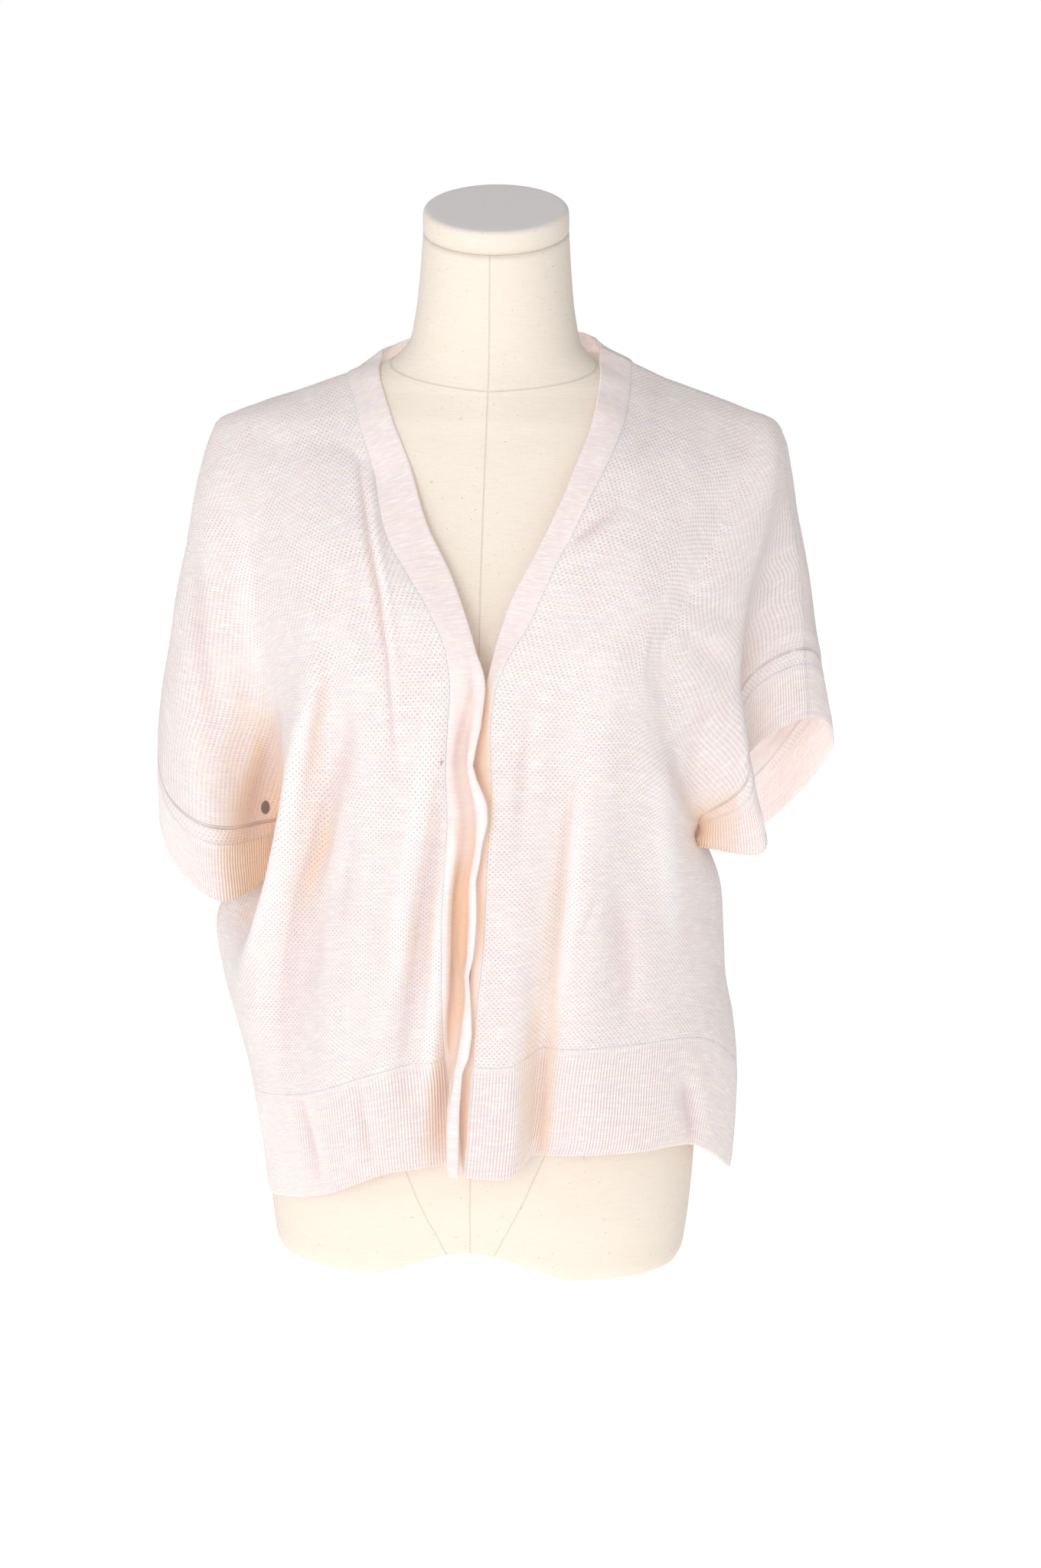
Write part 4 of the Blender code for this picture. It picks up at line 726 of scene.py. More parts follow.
def build_sheet():
    """The whole cloth as one sheet, and the grids of its ribbed pieces."""
    sheet = Sheet()
    sides = {}
    for side, lines, front in (("right", RIGHT_LINES, RIGHT_FRONT),
                               ("left", LEFT_LINES, LEFT_FRONT)):
        downs = {n: down_points(*lines[n], sleeve=n in SLEEVE_LINES)
                 for n in front + SLEEVE_LINES + BODY_BACK}
        parts = {part: widths_between(names, downs) for part, names in (
            ("front", front), ("sleeve front", SLEEVE_FRONT),
            ("sleeve back", SLEEVE_BACK), ("back", BODY_BACK))}
        sides[side] = (front, downs, parts)
    body, sleeve = (
        round(max(sum(parts[k]) for _, _, parts in sides.values() for k in kinds) / COLUMN)
        for kinds in (("front", "back"), ("sleeve front", "sleeve back")))
    counts = {side: {part: share_out(sleeve if "sleeve" in part else body, widths)
                     for part, widths in parts.items()}
              for side, (_, _, parts) in sides.items()}
    centre = down_points(*CENTRE_BACK)

    def round_counts(side, lower):
        """Columns between the lines from the closing to the centre back."""
        c = counts[side]
        if lower:
            return c["front"] + c["back"] + [NECK_HALF]
        return c["front"] + c["sleeve front"] + c["sleeve back"] + c["back"] + [NECK_HALF]

    def round_knots(side, r, lower):
        """Points of one row on the lines from the closing to the back neck."""
        front, downs, _ = sides[side]
        if lower:
            return [downs[n][1][r] for n in front + BODY_BACK[1:]]
        return [downs[n][0][r] for n in front + SLEEVE_LINES + BODY_BACK]

    grids = []
    for lower in (False, True):
        rows = []
        number = LOWER_ROWS + HEM_ROWS if lower else UPPER_ROWS + 1
        for r in range(number):
            knots = round_knots("right", r, lower) + [centre[1 if lower else 0][r]]
            knots += round_knots("left", r, lower)[::-1]
            row = across(knots, round_counts("right", lower) + round_counts("left", lower)[::-1])
            for part, side in ((slice(0, body + 1), "right"), (slice(-1 - body, None), "left")):
                row[part, 1] += crease_shift(side, row[part])
            rows.append(row)
        grids.append(np.array(rows))
    upper, lower = grids

    # Point numbers, with the seams shared
    width = upper.shape[1]
    right_outer = body + sleeve
    right_back = body + 2 * sleeve
    neck_right = right_back + body
    neck_centre = neck_right + NECK_HALF
    neck_left = neck_right + 2 * NECK_HALF
    left_back = neck_left + body
    left_outer = left_back + sleeve
    left_side = left_outer + sleeve
    up = np.array([sheet.add(row) for row in upper])
    for k in range(1, body + sleeve + 1):
        up[0, right_outer + k] = up[0, right_outer - k]
        up[0, left_outer - k] = up[0, left_outer + k]
    up[-1, right_back] = up[-1, body]
    up[-1, left_back] = up[-1, left_side]
    low = np.array([sheet.add(row) for row in lower])
    under = np.concatenate((up[-1, :body + 1], up[-1, right_back + 1:left_back],
                            up[-1, left_side:]))
    under_points = np.concatenate((upper[-1, :body + 1], upper[-1, right_back + 1:left_back],
                                   upper[-1, left_side:]))
    low = np.concatenate(([under], low))
    lower = np.concatenate(([under_points], lower))
    low_right = body
    low_left = len(under) - 1 - body
    low_centre = body + body + NECK_HALF
    last = len(under) - 1

    # Panels
    up_heights = UPPER_LENGTH * shares(UPPER_ROWS)
    low_heights = UPPER_LENGTH + np.concatenate((
        LOWER_LENGTH * shares(LOWER_ROWS),
        LOWER_LENGTH + HEM_DEPTH * shares(HEM_ROWS)[1:]))
    body_rows = slice(0, LOWER_ROWS + 1)
    hem_rows = slice(LOWER_ROWS, None)
    panels = (("front_right", (0, 0, right_outer), (0, 0, low_right)),
              ("back", (neck_centre, right_outer, left_outer), (low_centre, low_right, low_left)),
              ("front_left", (width - 1, left_outer, width - 1), (last, low_left, last)))
    for name, (origin, first, stop), _ in panels:
        sheet.strip(name, up, flat_grid(upper, origin, up_heights), first, stop)
    rib_grids = {}
    for name, _, (origin, first, stop) in panels:
        flat = flat_grid(lower, origin, low_heights)
        sheet.strip(name, low[body_rows], flat[body_rows], first, stop)
        sheet.strip("hem_" + name, low[hem_rows], flat[hem_rows], first, stop)
        rib_grids["hem_" + name] = low[hem_rows, first:stop + 1]

    # Sleeve ends and cuffs
    for side, lines, start, panels, cuffs in (
            ("right", RIGHT_LINES, body, ("front_right", "back"),
             ("cuff_front_right", "cuff_back_right")),
            ("left", LEFT_LINES, left_back, ("back", "front_left"),
             ("cuff_back_left", "cuff_front_left"))):
        turn = 1 if side == "right" else -1
        order = SLEEVE_LINES[::turn]
        columns = (counts[side]["sleeve front"] + counts[side]["sleeve back"])[::turn]
        seam, edge = (across([corner] + [lines[n][k][j] for n in order] + [corner], columns)
                      for corner, k, j in zip(CUFF_CORNERS[side], (0, 1), (-1, 0)))
        ring = slice(start, start + 2 * sleeve + 1)
        end_ids, end_points = rows_between(sheet, up[-1, ring], upper[-1, ring], seam,
                                           SLEEVE_END_ROWS)
        cuff_ids, cuff_points = rows_between(sheet, end_ids[-1], seam, edge, CUFF_ROWS)
        end_flat = flat_grid(end_points, sleeve,
                             UPPER_LENGTH + SLEEVE_END * shares(SLEEVE_END_ROWS))
        cuff_flat = flat_grid(cuff_points, sleeve,
                              UPPER_LENGTH + SLEEVE_END + CUFF_DEPTH * shares(CUFF_ROWS))
        sheet.ends.append(end_ids)
        for name, first in zip(panels, (0, sleeve)):
            sheet.strip(name, end_ids, end_flat, first, first + sleeve)
        for name, first in zip(cuffs, (0, sleeve)):
            sheet.strip(name, cuff_ids, cuff_flat, first, first + sleeve)
            rib_grids[name] = cuff_ids[:, first:first + sleeve + 1]

    # Bands up both fronts and round the neck
    band_ids = {}
    for side, lines, column in (("right", RIGHT_LINES, 0), ("left", LEFT_LINES, -1)):
        seam_ids = np.concatenate((up[:, column], low[1:, column]))
        rows = band_rows(lines, side)
        along = np.concatenate(([0.0], np.cumsum(
            [np.linalg.norm(b[0] - a[0]) for a, b in zip(rows, rows[1:])])))
        ids = []
        for row, seam_id in zip(rows, seam_ids):
            ids.append(np.concatenate((sheet.add(row[:-1]), [seam_id])))
        ids = np.array(ids)
        flat = np.array([[(BAND_WIDTH * k / BAND_ACROSS, v) for k in range(BAND_ACROSS + 1)]
                         for v in along])
        if side == "left":
            ids = ids[:, ::-1]
            flat = flat[:, ::-1]
        band_ids[side] = ids
        sheet.strip("band_" + side, ids, flat, 0, BAND_ACROSS)
    neck = up[0, neck_right:neck_left + 1]
    neck_points = upper[0, neck_right:neck_left + 1]
    top = across(NECK_EDGE, [NECK_HALF // 3] * 6)
    along = -measured(top[None], 0)[0]
    ids = []
    flat = []
    for k in range(BAND_ACROSS + 1):
        s = k / BAND_ACROSS
        flat.append([(BAND_WIDTH * s, v) for v in along])
        if k == BAND_ACROSS:
            ids.append(neck)
            continue
        row = sheet.add(top * (1.0 - s) + neck_points * s)
        row[0] = band_ids["right"][0, k]
        row[-1] = band_ids["left"][0, BAND_ACROSS - k]
        ids.append(row)
    sheet.strip("band_right", ids, flat, 0, NECK_HALF)
    sheet.strip("band_left", ids, flat, NECK_HALF, 2 * NECK_HALF)
    return sheet, rib_grids


def gathered(ids, vectors, count):
    """Sum of the vectors given for each point number."""
    return np.stack([np.bincount(ids, vectors[:, k], count) for k in range(3)], axis=1)


def sheet_normals(points, quads):
    """Outward direction at every point, weighed by the faces round it."""
    p = points[quads]
    n = np.cross(p[:, 2] - p[:, 0], p[:, 3] - p[:, 1])
    return unit(sum(gathered(quads[:, k], n, len(points)) for k in range(4)))


def neighbours(quads, count):
    """Each edge once, with the points that lie on the sheet's border."""
    a = quads.ravel()
    b = np.roll(quads, -1, axis=1).ravel()
    key = np.minimum(a, b) * count + np.maximum(a, b)
    keys, times = np.unique(key, return_counts=True)
    edges = np.stack((keys // count, keys % count), axis=1)
    border = np.zeros(count, bool)
    border[edges[times == 1].ravel()] = True
    return edges, border


def smooth(points, edges, fixed, rounds, strength=0.5):
    """Points drawn towards the middle of their neighbours."""
    count = len(points)
    number = np.maximum(np.bincount(edges.ravel(), minlength=count), 1.0)[:, None]
    p = points.copy()
    for _ in range(rounds):
        total = (gathered(edges[:, 0], p[edges[:, 1]], count)
                 + gathered(edges[:, 1], p[edges[:, 0]], count))
        moved = p + (total / number - p) * strength
        moved[fixed] = p[fixed]
        p = moved
    return p


def distance_to_line(x, z, line):
    """Distance from a chain of points in the front plane, and share along it."""
    best = np.full(len(x), 1e9)
    share = np.zeros(len(x))
    lengths = [math.hypot(b[0] - a[0], b[1] - a[1]) for a, b in zip(line, line[1:])]
    total = sum(lengths)
    done = 0.0
    for (a, b), length in zip(zip(line, line[1:]), lengths):
        dx = (b[0] - a[0]) / length
        dz = (b[1] - a[1]) / length
        s = np.clip((x - a[0]) * dx + (z - a[1]) * dz, 0.0, length)
        d = np.hypot(x - a[0] - dx * s, z - a[1] - dz * s)
        nearer = d < best
        best = np.where(nearer, d, best)
        share = np.where(nearer, (done + s) / total, share)
        done += length
    return best, share


def soft_creases(points, normals):
    """Depth of the soft creases at every point, positive inwards."""
    total = np.zeros(len(points))
    for face, half_width, depth, line in SOFT_CREASES:
        facing = -normals[:, 1] if face == "front" else normals[:, 1]
        weight = smoothstep(*CREASE_FACING, facing)
        d, share = distance_to_line(points[:, 0], points[:, 2], listed(line))
        ends = np.sin(math.pi * np.clip(share, 0.02, 0.98)) ** CREASE_ENDS
        trough = np.exp(-(d / half_width) ** 2)
        lips = LIP_SHARE * np.exp(-((d - LIP_AWAY * half_width) / half_width) ** 2)
        total += depth * weight * ends * (trough - lips)
    return total


def unevenness(points):
    """Small height of the cloth's own unevenness at every point."""
    total = np.zeros(len(points))
    for wavelength, height in UNEVEN:
        total += [height * noise.noise(Vector(p / wavelength)) for p in points]
    return total


def hidden_share(points, normals, quads, form):
    """Share of the outlook that cloth and form close by take from each point."""
    shapes = [BVHTree.FromPolygons(points.tolist(), quads.tolist()), form]
    starts = [Vector(p) for p in points + normals * LOOK_START]
    side = unit(np.cross(normals, (0.02, 0.01, 1.0)))
    up = np.cross(normals, side)
    hidden = np.zeros(len(points))
    for tilt, turn in LOOKS:
        aside = side * math.cos(turn) + up * math.sin(turn)
        rays = normals * math.cos(tilt) + aside * math.sin(tilt)
        for i, ray in enumerate(rays.tolist()):
            if any(shape.ray_cast(starts[i], ray, LOOK_REACH)[0] for shape in shapes):
                hidden[i] += 1.0
    return hidden / len(LOOKS)


def clear_of_form(points, needs, tree):
    """Points moved out until they are just clear of the form."""
    moved = points.copy()
    for i, p in enumerate(points):
        near, normal, _, gap = tree.find_nearest(Vector(p))
        inside = (Vector(p) - near).dot(normal) < 0.0
        if inside or gap < needs[i]:
            moved[i] = np.array(near + normal * float(needs[i]))
    return moved


# Meshes

def make_mesh(name, points, faces, attributes):
    """Mesh object in metres from points in millimetres."""
    mesh = bpy.data.meshes.new(name)
    mesh.from_pydata(((points + FRAME_SHIFT) * MM).tolist(), [], faces)
    mesh.polygons.foreach_set("use_smooth", [True] * len(mesh.polygons))
    for key, values in attributes.items():
        layer = mesh.attributes.new(key, "FLOAT_VECTOR", "POINT")
        layer.data.foreach_set("vector", np.asarray(values, np.float32).ravel())
    mesh.update()
    thing = bpy.data.objects.new(name, mesh)
    bpy.context.scene.collection.objects.link(thing)
    return thing


def shell(name, points, normals, half, quads, attributes, free):
    """Closed thin wall round a sheet of points, with its free edges rounded."""
    used = np.unique(quads)
    renumber = np.full(len(points), -1)
    renumber[used] = np.arange(len(used))
    quads = renumber[quads]
    points = points[used]
    normals = normals[used]
    free = free[used]
    attributes = {key: values[used] for key, values in attributes.items()}
    count = len(points)
    a = quads.ravel()
    b = np.roll(quads, -1, axis=1).ravel()
    border = ~np.isin(a * count + b, b * count + a)
    lengths = np.linalg.norm(points[b] - points[a], axis=1)
    room = np.full(count, 1e9)
    np.minimum.at(room, a[~border], lengths[~border])
    first = a[border]
    second = b[border]
    along = unit(points[second] - points[first])
    inward = sum(gathered(ends, np.cross(normals[ends], along), count)
                 for ends in (first, second))
    edge_points = np.unique(first)
    inward = unit(inward) * np.isin(np.arange(count), edge_points)[:, None]
    half = np.broadcast_to(half, (len(renumber),))[used]
    inset = np.where(free, half * RIM_SHARE + SEAM, SEAM)
    inset = np.minimum(inset, RIM_ROOM * room)[:, None]
    base = points + inward * inset
    rim = points[edge_points] + inward[edge_points] * np.minimum(SEAM, inset[edge_points])
    rim_number = np.full(count, -1)
    rim_number[edge_points] = 2 * count + np.arange(len(edge_points))
    wall = normals * half[:, None]
    vertices = np.concatenate((base + wall, base - wall, rim))
    faces = [quads, quads[:, ::-1] + count]
    ra = rim_number[first]
    rb = rim_number[second]
    faces.append(np.stack((second, first, ra, rb), axis=1))
    faces.append(np.stack((rb, ra, first + count, second + count), axis=1))
    values = {key: np.concatenate((v, v, v[edge_points])) for key, v in attributes.items()}
    # The inner side gets a painted warm shade and a painted glow
    values["relief"][count:2 * count] = INSIDE_PAINTED_LIGHT
    thing = make_mesh(name, vertices, np.concatenate(faces).tolist(), values)
    # Seams keep a flat shade up to their edge
    seam = np.zeros(len(vertices), bool)
    seam[edge_points] = ~free[edge_points]
    seam[count + edge_points] = ~free[edge_points]
    ends = np.empty(2 * len(thing.data.edges), np.int32)
    thing.data.edges.foreach_get("vertices", ends)
    ends = ends.reshape(-1, 2)
    outline = np.zeros(len(vertices), bool)
    outline[edge_points] = True
    outline[count + edge_points] = True
    sharp = seam[ends].any(axis=1) & outline[ends].all(axis=1)
    layer = thing.data.attributes.new("sharp_edge", "BOOLEAN", "EDGE")
    layer.data.foreach_set("value", sharp)
    return thing


def ribbed(name, grid_ids, points, normals, attributes, free):
    """Wall with real ribs, resampled along each row of a coarse grid."""
    coarse = points[grid_ids]
    at = measured(coarse, 0)
    ribs = round(at[:, -1].mean() / RIB_PITCH)
    share = shares(ribs * RIB_SAMPLES)
    rows, width = len(coarse), len(share)
    fine = {}
    source = {"points": coarse, "normals": normals[grid_ids]}
    for key, values in attributes.items():
        source[key] = values[grid_ids]
    for key, values in source.items():
        out = np.empty((rows, width, 3))
        for r in range(rows):
            for axis in range(3):
                out[r, :, axis] = np.interp(share * at[r, -1], at[r], values[r, :, axis])
        fine[key] = out
    phase = np.cos(2.0 * math.pi * share * ribs)
    grow = np.sin(0.5 * math.pi * np.minimum(np.arange(rows) / RIB_RISE, 1.0))
    height = RIB_HEIGHT * phase[None, :] * grow[:, None]
    normals_fine = unit(fine["normals"])
    placed = fine["points"] + normals_fine * height[..., None]
    fine["cloth"][..., 2] = phase[None, :] * grow[:, None]
    quads = grid_quads(np.arange(rows * width).reshape(rows, width))
    kept = {key: fine[key].reshape(-1, 3) for key in attributes}
    edge = np.zeros((rows, width), bool)
    edge[-1] = True
    for end in (0, -1):
        edge[:, end] = free[grid_ids[1:-1, end]].all()
    return shell(name, placed.reshape(-1, 3), normals_fine.reshape(-1, 3), RIB_HALF,
                 quads, kept, edge.ravel())


# Materials

class Nodes:
    """Shader nodes of one tree, linked as they are called for."""

    def __init__(self, tree):
        self.tree = tree

    def new(self, kind, **settings):
        node = self.tree.nodes.new(kind)
        for key, value in settings.items():
            setattr(node, key, value)
        return node

    def feed(self, socket, value):
        if isinstance(value, bpy.types.NodeSocket):
            self.tree.links.new(value, socket)
        elif isinstance(value, tuple) and len(value) == 3 and socket.type == "RGBA":
            socket.default_value = value + (1.0,)
        else:
            socket.default_value = value

    def fed(self, node, *values):
        """First output of a node, once its inputs are fed in order."""
        for socket, value in zip(node.inputs, values):
            self.feed(socket, value)
        return node.outputs[0]

    def math(self, operation, *values):
        return self.fed(self.new("ShaderNodeMath", operation=operation), *values)

    def plus(self, a, b):
        return self.math("ADD", a, b)

    def minus(self, a, b):
        return self.math("SUBTRACT", a, b)

    def times(self, a, b):
        return self.math("MULTIPLY", a, b)

    def over(self, a, b):
        return self.math("DIVIDE", a, b)

    def wave(self, value, length):
        """Sine of a value, with one turn for each length."""
        return self.math("SINE", self.times(value, 2.0 * math.pi / length))

    def split(self, vector):
        node = self.new("ShaderNodeSeparateXYZ")
        self.feed(node.inputs[0], vector)
        return tuple(node.outputs)

    def vector(self, x, y, z):
        return self.fed(self.new("ShaderNodeCombineXYZ"), x, y, z)


class Look(Nodes):
    """One procedural material, built node by node."""

    def __init__(self, name, roughness, sheen=0.0, glow=0.0):
        self.material = bpy.data.materials.new(name)
        self.material.use_nodes = True
        super().__init__(self.material.node_tree)
        self.shader = self.tree.nodes["Principled BSDF"]
        for key, value in (("Roughness", roughness), ("Sheen Weight", sheen),
                           ("Sheen Roughness", 0.5), ("Specular IOR Level", 0.2),
                           ("Subsurface Weight", glow), ("Subsurface Scale", 0.004),
                           ("Subsurface Radius", (1.0, 0.62, 0.45))):
            self.shader.inputs[key].default_value = value

    def attribute(self, name):
        return self.split(self.new("ShaderNodeAttribute", attribute_name=name).outputs["Vector"])

    def place(self):
        return self.new("ShaderNodeTexCoord").outputs["Object"]

    def noise(self, vector, scale, detail, roughness):
        node = self.new("ShaderNodeTexNoise")
        for key, value in (("Vector", vector), ("Scale", scale), ("Detail", detail),
                           ("Roughness", roughness)):
            self.feed(node.inputs[key], value)
        return node.outputs[0]

    def ramp(self, value, low, high, first=0.0, second=1.0):
        return self.fed(self.new("ShaderNodeMapRange", interpolation_type="SMOOTHSTEP"),
                        value, low, high, first, second)

    def mix(self, factor, a, b):
        node = self.new("ShaderNodeMix", data_type="RGBA")
        for index, value in ((0, factor), (6, a), (7, b)):
            self.feed(node.inputs[index], value)
        return node.outputs[2]

    def tinted(self, colour, tint, value, low, high, share):
        """Colour drawn to a tint, by up to the share, as the value nears high."""
        return self.mix(self.ramp(value, low, high, 0.0, share), colour, tint)

    def near(self, point, radius, edge):
        """One close to a place seen from the front, nothing away from it."""
        flat = self.fed(self.new("ShaderNodeVectorMath", operation="MULTIPLY"),
                        self.place(), MARK_SQUEEZE)
        node = self.new("ShaderNodeVectorMath", operation="DISTANCE")
        self.fed(node, flat, tuple(a * b for a, b in zip(point, MARK_SQUEEZE)))
        return self.ramp(node.outputs["Value"], radius - edge, radius + edge, 1.0, 0.0)

    def bump(self, height, distance, strength):
        node = self.new("ShaderNodeBump")
        for key, value in (("Strength", strength), ("Distance", distance), ("Height", height)):
            self.feed(node.inputs[key], value)
        self.feed(self.shader.inputs["Normal"], node.outputs[0])

    def colour(self, value):
        self.feed(self.shader.inputs["Base Color"], value)


# Colours of the yarn and of the form, with the painted shade of folds and rib troughs and the
# painted highlight of ridges
YARN_PINK = (0.828, 0.718, 0.722)
YARN_PEACH = (0.850, 0.745, 0.715)
YARN_GREY = (0.740, 0.665, 0.675)
# Pale yarn of the streaks, which also serves as the painted highlight on ridges; then the painted
# shade of folds, warm and grey
PALE_YARN_AND_PAINTED_HIGHLIGHT = (0.912, 0.878, 0.872)
WARM_PAINTED_SHADE = (0.850, 0.600, 0.420)
FOLD_SHADE = (0.640, 0.500, 0.500)
EYELET = (0.42, 0.34, 0.33)
RIB_TROUGH_PAINTED_SHADE = (0.45, 0.37, 0.36)
LINEN = (0.800, 0.720, 0.630)
LINEN_DARK = (0.720, 0.635, 0.540)
LINEN_PALE = (0.83, 0.76, 0.68)
LINEN_SPECK = (0.35, 0.28, 0.24)
LINEN_SEAM = (0.56, 0.45, 0.36)
CAP_GREY = (0.740, 0.705, 0.695)

# Strength of the painted glow that stands in for light coming through the knit, sheen of
# knit and linen, thread of the linen in metres
GLOW = 0.40
YARN_SHEEN = 0.2
LINEN_SHEEN = 0.08
LINEN_THREAD = 0.0011

# A small stain and a dark speck on the right front: place, radius and soft edge
# in metres, share, colour; and the share of each direction that counts for them
MARKS = (
    (world_point(-160.0, -22.8, 334.8), 0.0031, 0.0004, 0.90, (0.17, 0.125, 0.11)),
    (world_point(-22.8, -124.0, 391.1), 0.0009, 0.0005, 0.70, (0.25, 0.20, 0.20)),
)
MARK_SQUEEZE = (1.0, 0.12, 0.60)


def yarn(look, u, v):
    """Melange of the yarn in streaks along the courses, with painted warm shade in hidden places
    and deep creases, painted grey shade in shallow creases, a painted highlight on ridges and a
    painted glow.
    """
    crease, hidden, glow = look.attribute("relief")
    streaks = look.noise(look.vector(look.times(u, 0.075), look.times(v, 0.55), 0.0),
                         1.0, 3.0, 0.6)
    clouds = look.noise(look.vector(look.times(u, 0.030), look.times(v, 0.16), 7.3),
                        1.0, 2.0, 0.5)
    colour = look.mix(look.ramp(clouds, 0.35, 0.60), YARN_PINK, YARN_PEACH)
    # Streaks of paler and greyer yarn; then painted warm shade in hidden places and deep creases,
    # painted grey shade in shallow creases and a painted highlight on ridges
    for tint, value, low, high, share in (
            (YARN_GREY, streaks, 0.48, 0.34, 0.40), (PALE_YARN_AND_PAINTED_HIGHLIGHT, streaks, 0.48, 0.68, 0.65),
            (WARM_PAINTED_SHADE, hidden, 0.06, 0.65, 0.82), (FOLD_SHADE, crease, 0.4, 2.6, 0.40),
            (WARM_PAINTED_SHADE, crease, 3.0, 6.5, 0.95), (PALE_YARN_AND_PAINTED_HIGHLIGHT, crease, -0.3, -2.0, 0.45)):
        colour = look.tinted(colour, tint, value, low, high, share)
    # Painted glow: the yarn's colour given off where the cloth is hidden and on its inner side
    light = look.mix(look.ramp(glow, 0.15, 1.0), (0.0, 0.0, 0.0), colour)
    look.feed(look.shader.inputs["Emission Color"], light)
    look.shader.inputs["Emission Strength"].default_value = GLOW
    return colour


def knit_look():
    """Fine knit with eyelets, each course half a stitch off the one before."""
    look = Look("knit", 0.9, YARN_SHEEN, 0.5)
    u, v, _ = look.attribute("cloth")
    colour = yarn(look, u, v)
    course = look.over(v, COURSE)
    odd = look.math("MODULO", look.math("FLOOR", course), 2.0)
    along = look.plus(look.over(u, STITCH), look.times(odd, 0.5))
    du = look.times(look.minus(look.math("FRACT", along), 0.5), STITCH)
    dv = look.times(look.minus(look.math("FRACT", course), 0.5), COURSE)
    span = look.math("SQRT", look.plus(look.times(du, du), look.times(dv, dv)))
    dot = look.ramp(span, 0.30, 0.80, 1.0, 0.0)
    fuzz = look.noise(look.vector(u, v, 0.0), 1.6, 3.0, 0.7)
    patches = look.noise(look.vector(u, v, 9.0), 0.045, 2.0, 0.6)
    depth = look.times(look.times(dot, look.ramp(fuzz, 0.64, 0.36, 0.10, 0.75)),
                       look.ramp(patches, 0.36, 0.56, 0.25, 1.0))
    colour = look.mix(depth, colour, EYELET)
    colour = look.tinted(colour, YARN_GREY, fuzz, 0.35, 0.75, 0.35)
    for point, radius, edge, share, tint in MARKS:
        colour = look.mix(look.times(look.near(point, radius, edge), share), colour, tint)
    look.colour(colour)
    loops = look.times(look.wave(u, 0.5 * STITCH), -0.12)
    look.bump(look.minus(look.times(fuzz, 0.5), look.plus(dot, loops)), 0.0005, 0.8)
    return look.material


def rib_look():
    """Rib with painted shade in its troughs and fine rungs."""
    look = Look("rib", 0.9, YARN_SHEEN, 0.5)
    u, v, phase = look.attribute("cloth")
    fuzz = look.noise(look.vector(u, v, 0.0), 1.9, 3.0, 0.7)
    # Painted shade in the troughs between the ribs
    colour = look.tinted(yarn(look, u, v), RIB_TROUGH_PAINTED_SHADE, phase, -0.1, -0.95, 0.38)
    look.colour(look.tinted(colour, YARN_GREY, fuzz, 0.4, 0.8, 0.3))
    rungs = look.wave(v, RIB_COURSE)
    look.bump(look.plus(look.times(rungs, 0.25), fuzz), 0.0003, 0.7)
    return look.material


def band_look():
    """Plain close knit of the bands."""
    look = Look("band", 0.88, YARN_SHEEN, 0.4)
    u, v, _ = look.attribute("cloth")
    fuzz = look.noise(look.vector(u, v, 3.0), 1.9, 3.0, 0.7)
    look.colour(look.tinted(yarn(look, u, v), YARN_GREY, fuzz, 0.4, 0.8, 0.3))
    weave = look.times(look.wave(u, BAND_WALE), look.wave(v, BAND_COURSE))
    look.bump(look.plus(look.times(weave, 0.35), fuzz), 0.0003, 0.7)
    return look.material


def linen_look(name, top):
    """Linen with sewn seams, or grey on the upper side of the cap."""
    look = Look(name, 0.85, LINEN_SHEEN)
    place = look.place()
    x, y, z = look.split(place)
    threads = look.times(look.wave(look.plus(x, y), LINEN_THREAD), look.wave(z, LINEN_THREAD))
    slub = look.noise(look.vector(look.times(x, 90.0), look.times(y, 90.0),
                                  look.times(z, 900.0)), 1.0, 2.0, 0.6)
    clouds = look.noise(place, 14.0, 3.0, 0.5)
    specks = look.noise(place, 520.0, 0.0, 0.0)
    colour = look.tinted(LINEN, LINEN_DARK, slub, 0.35, 0.75, 0.30)
    colour = look.tinted(colour, LINEN_PALE, clouds, 0.45, 0.8, 0.25)
    colour = look.tinted(colour, LINEN_SPECK, specks, 0.80, 0.84, 0.4)
    height = look.plus(look.times(threads, 0.3), slub)
    seams = look.attribute("seams")
    if top:
        colour = look.mix(look.ramp(seams[0], 0.1, 0.6), colour, CAP_GREY)
    else:
        lines = [look.ramp(look.math("ABSOLUTE", s), 0.25, 0.7, 1.0, 0.0) for s in seams]
        seam = look.math("MAXIMUM", look.math("MAXIMUM", lines[0], lines[1]), lines[2])
        colour = look.mix(look.times(seam, 0.35), colour, LINEN_SEAM)
        height = look.minus(height, look.times(seam, 2.0))
    look.colour(colour)
    look.bump(height, 0.0003, 0.6)
    return look.material


# Pieces

def place_piece(thing, node, material):
    thing.data.materials.append(material)
    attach(thing, "root")
    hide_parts(node)


# Seams of the linen cover: the two front seams as height and distance from the
# middle, the plane of the neck seam, the height where the centre seam goes all
# round and the front seams end, the y they stay ahead of, and a value for no seam
PRINCESS = ((0, 14), (9, 15), (19, 17), (67, 40), (75, 43), (120, 62), (250, 60),
            (450, 84), (600, 104), (700, 120))
NECK_SEAM_HEIGHT = 664.0
NECK_SEAM_SLOPE = 0.33
SHOULDER_HEIGHT = 640.0
FRONT_LIMIT = -5.0
NO_SEAM = 50.0


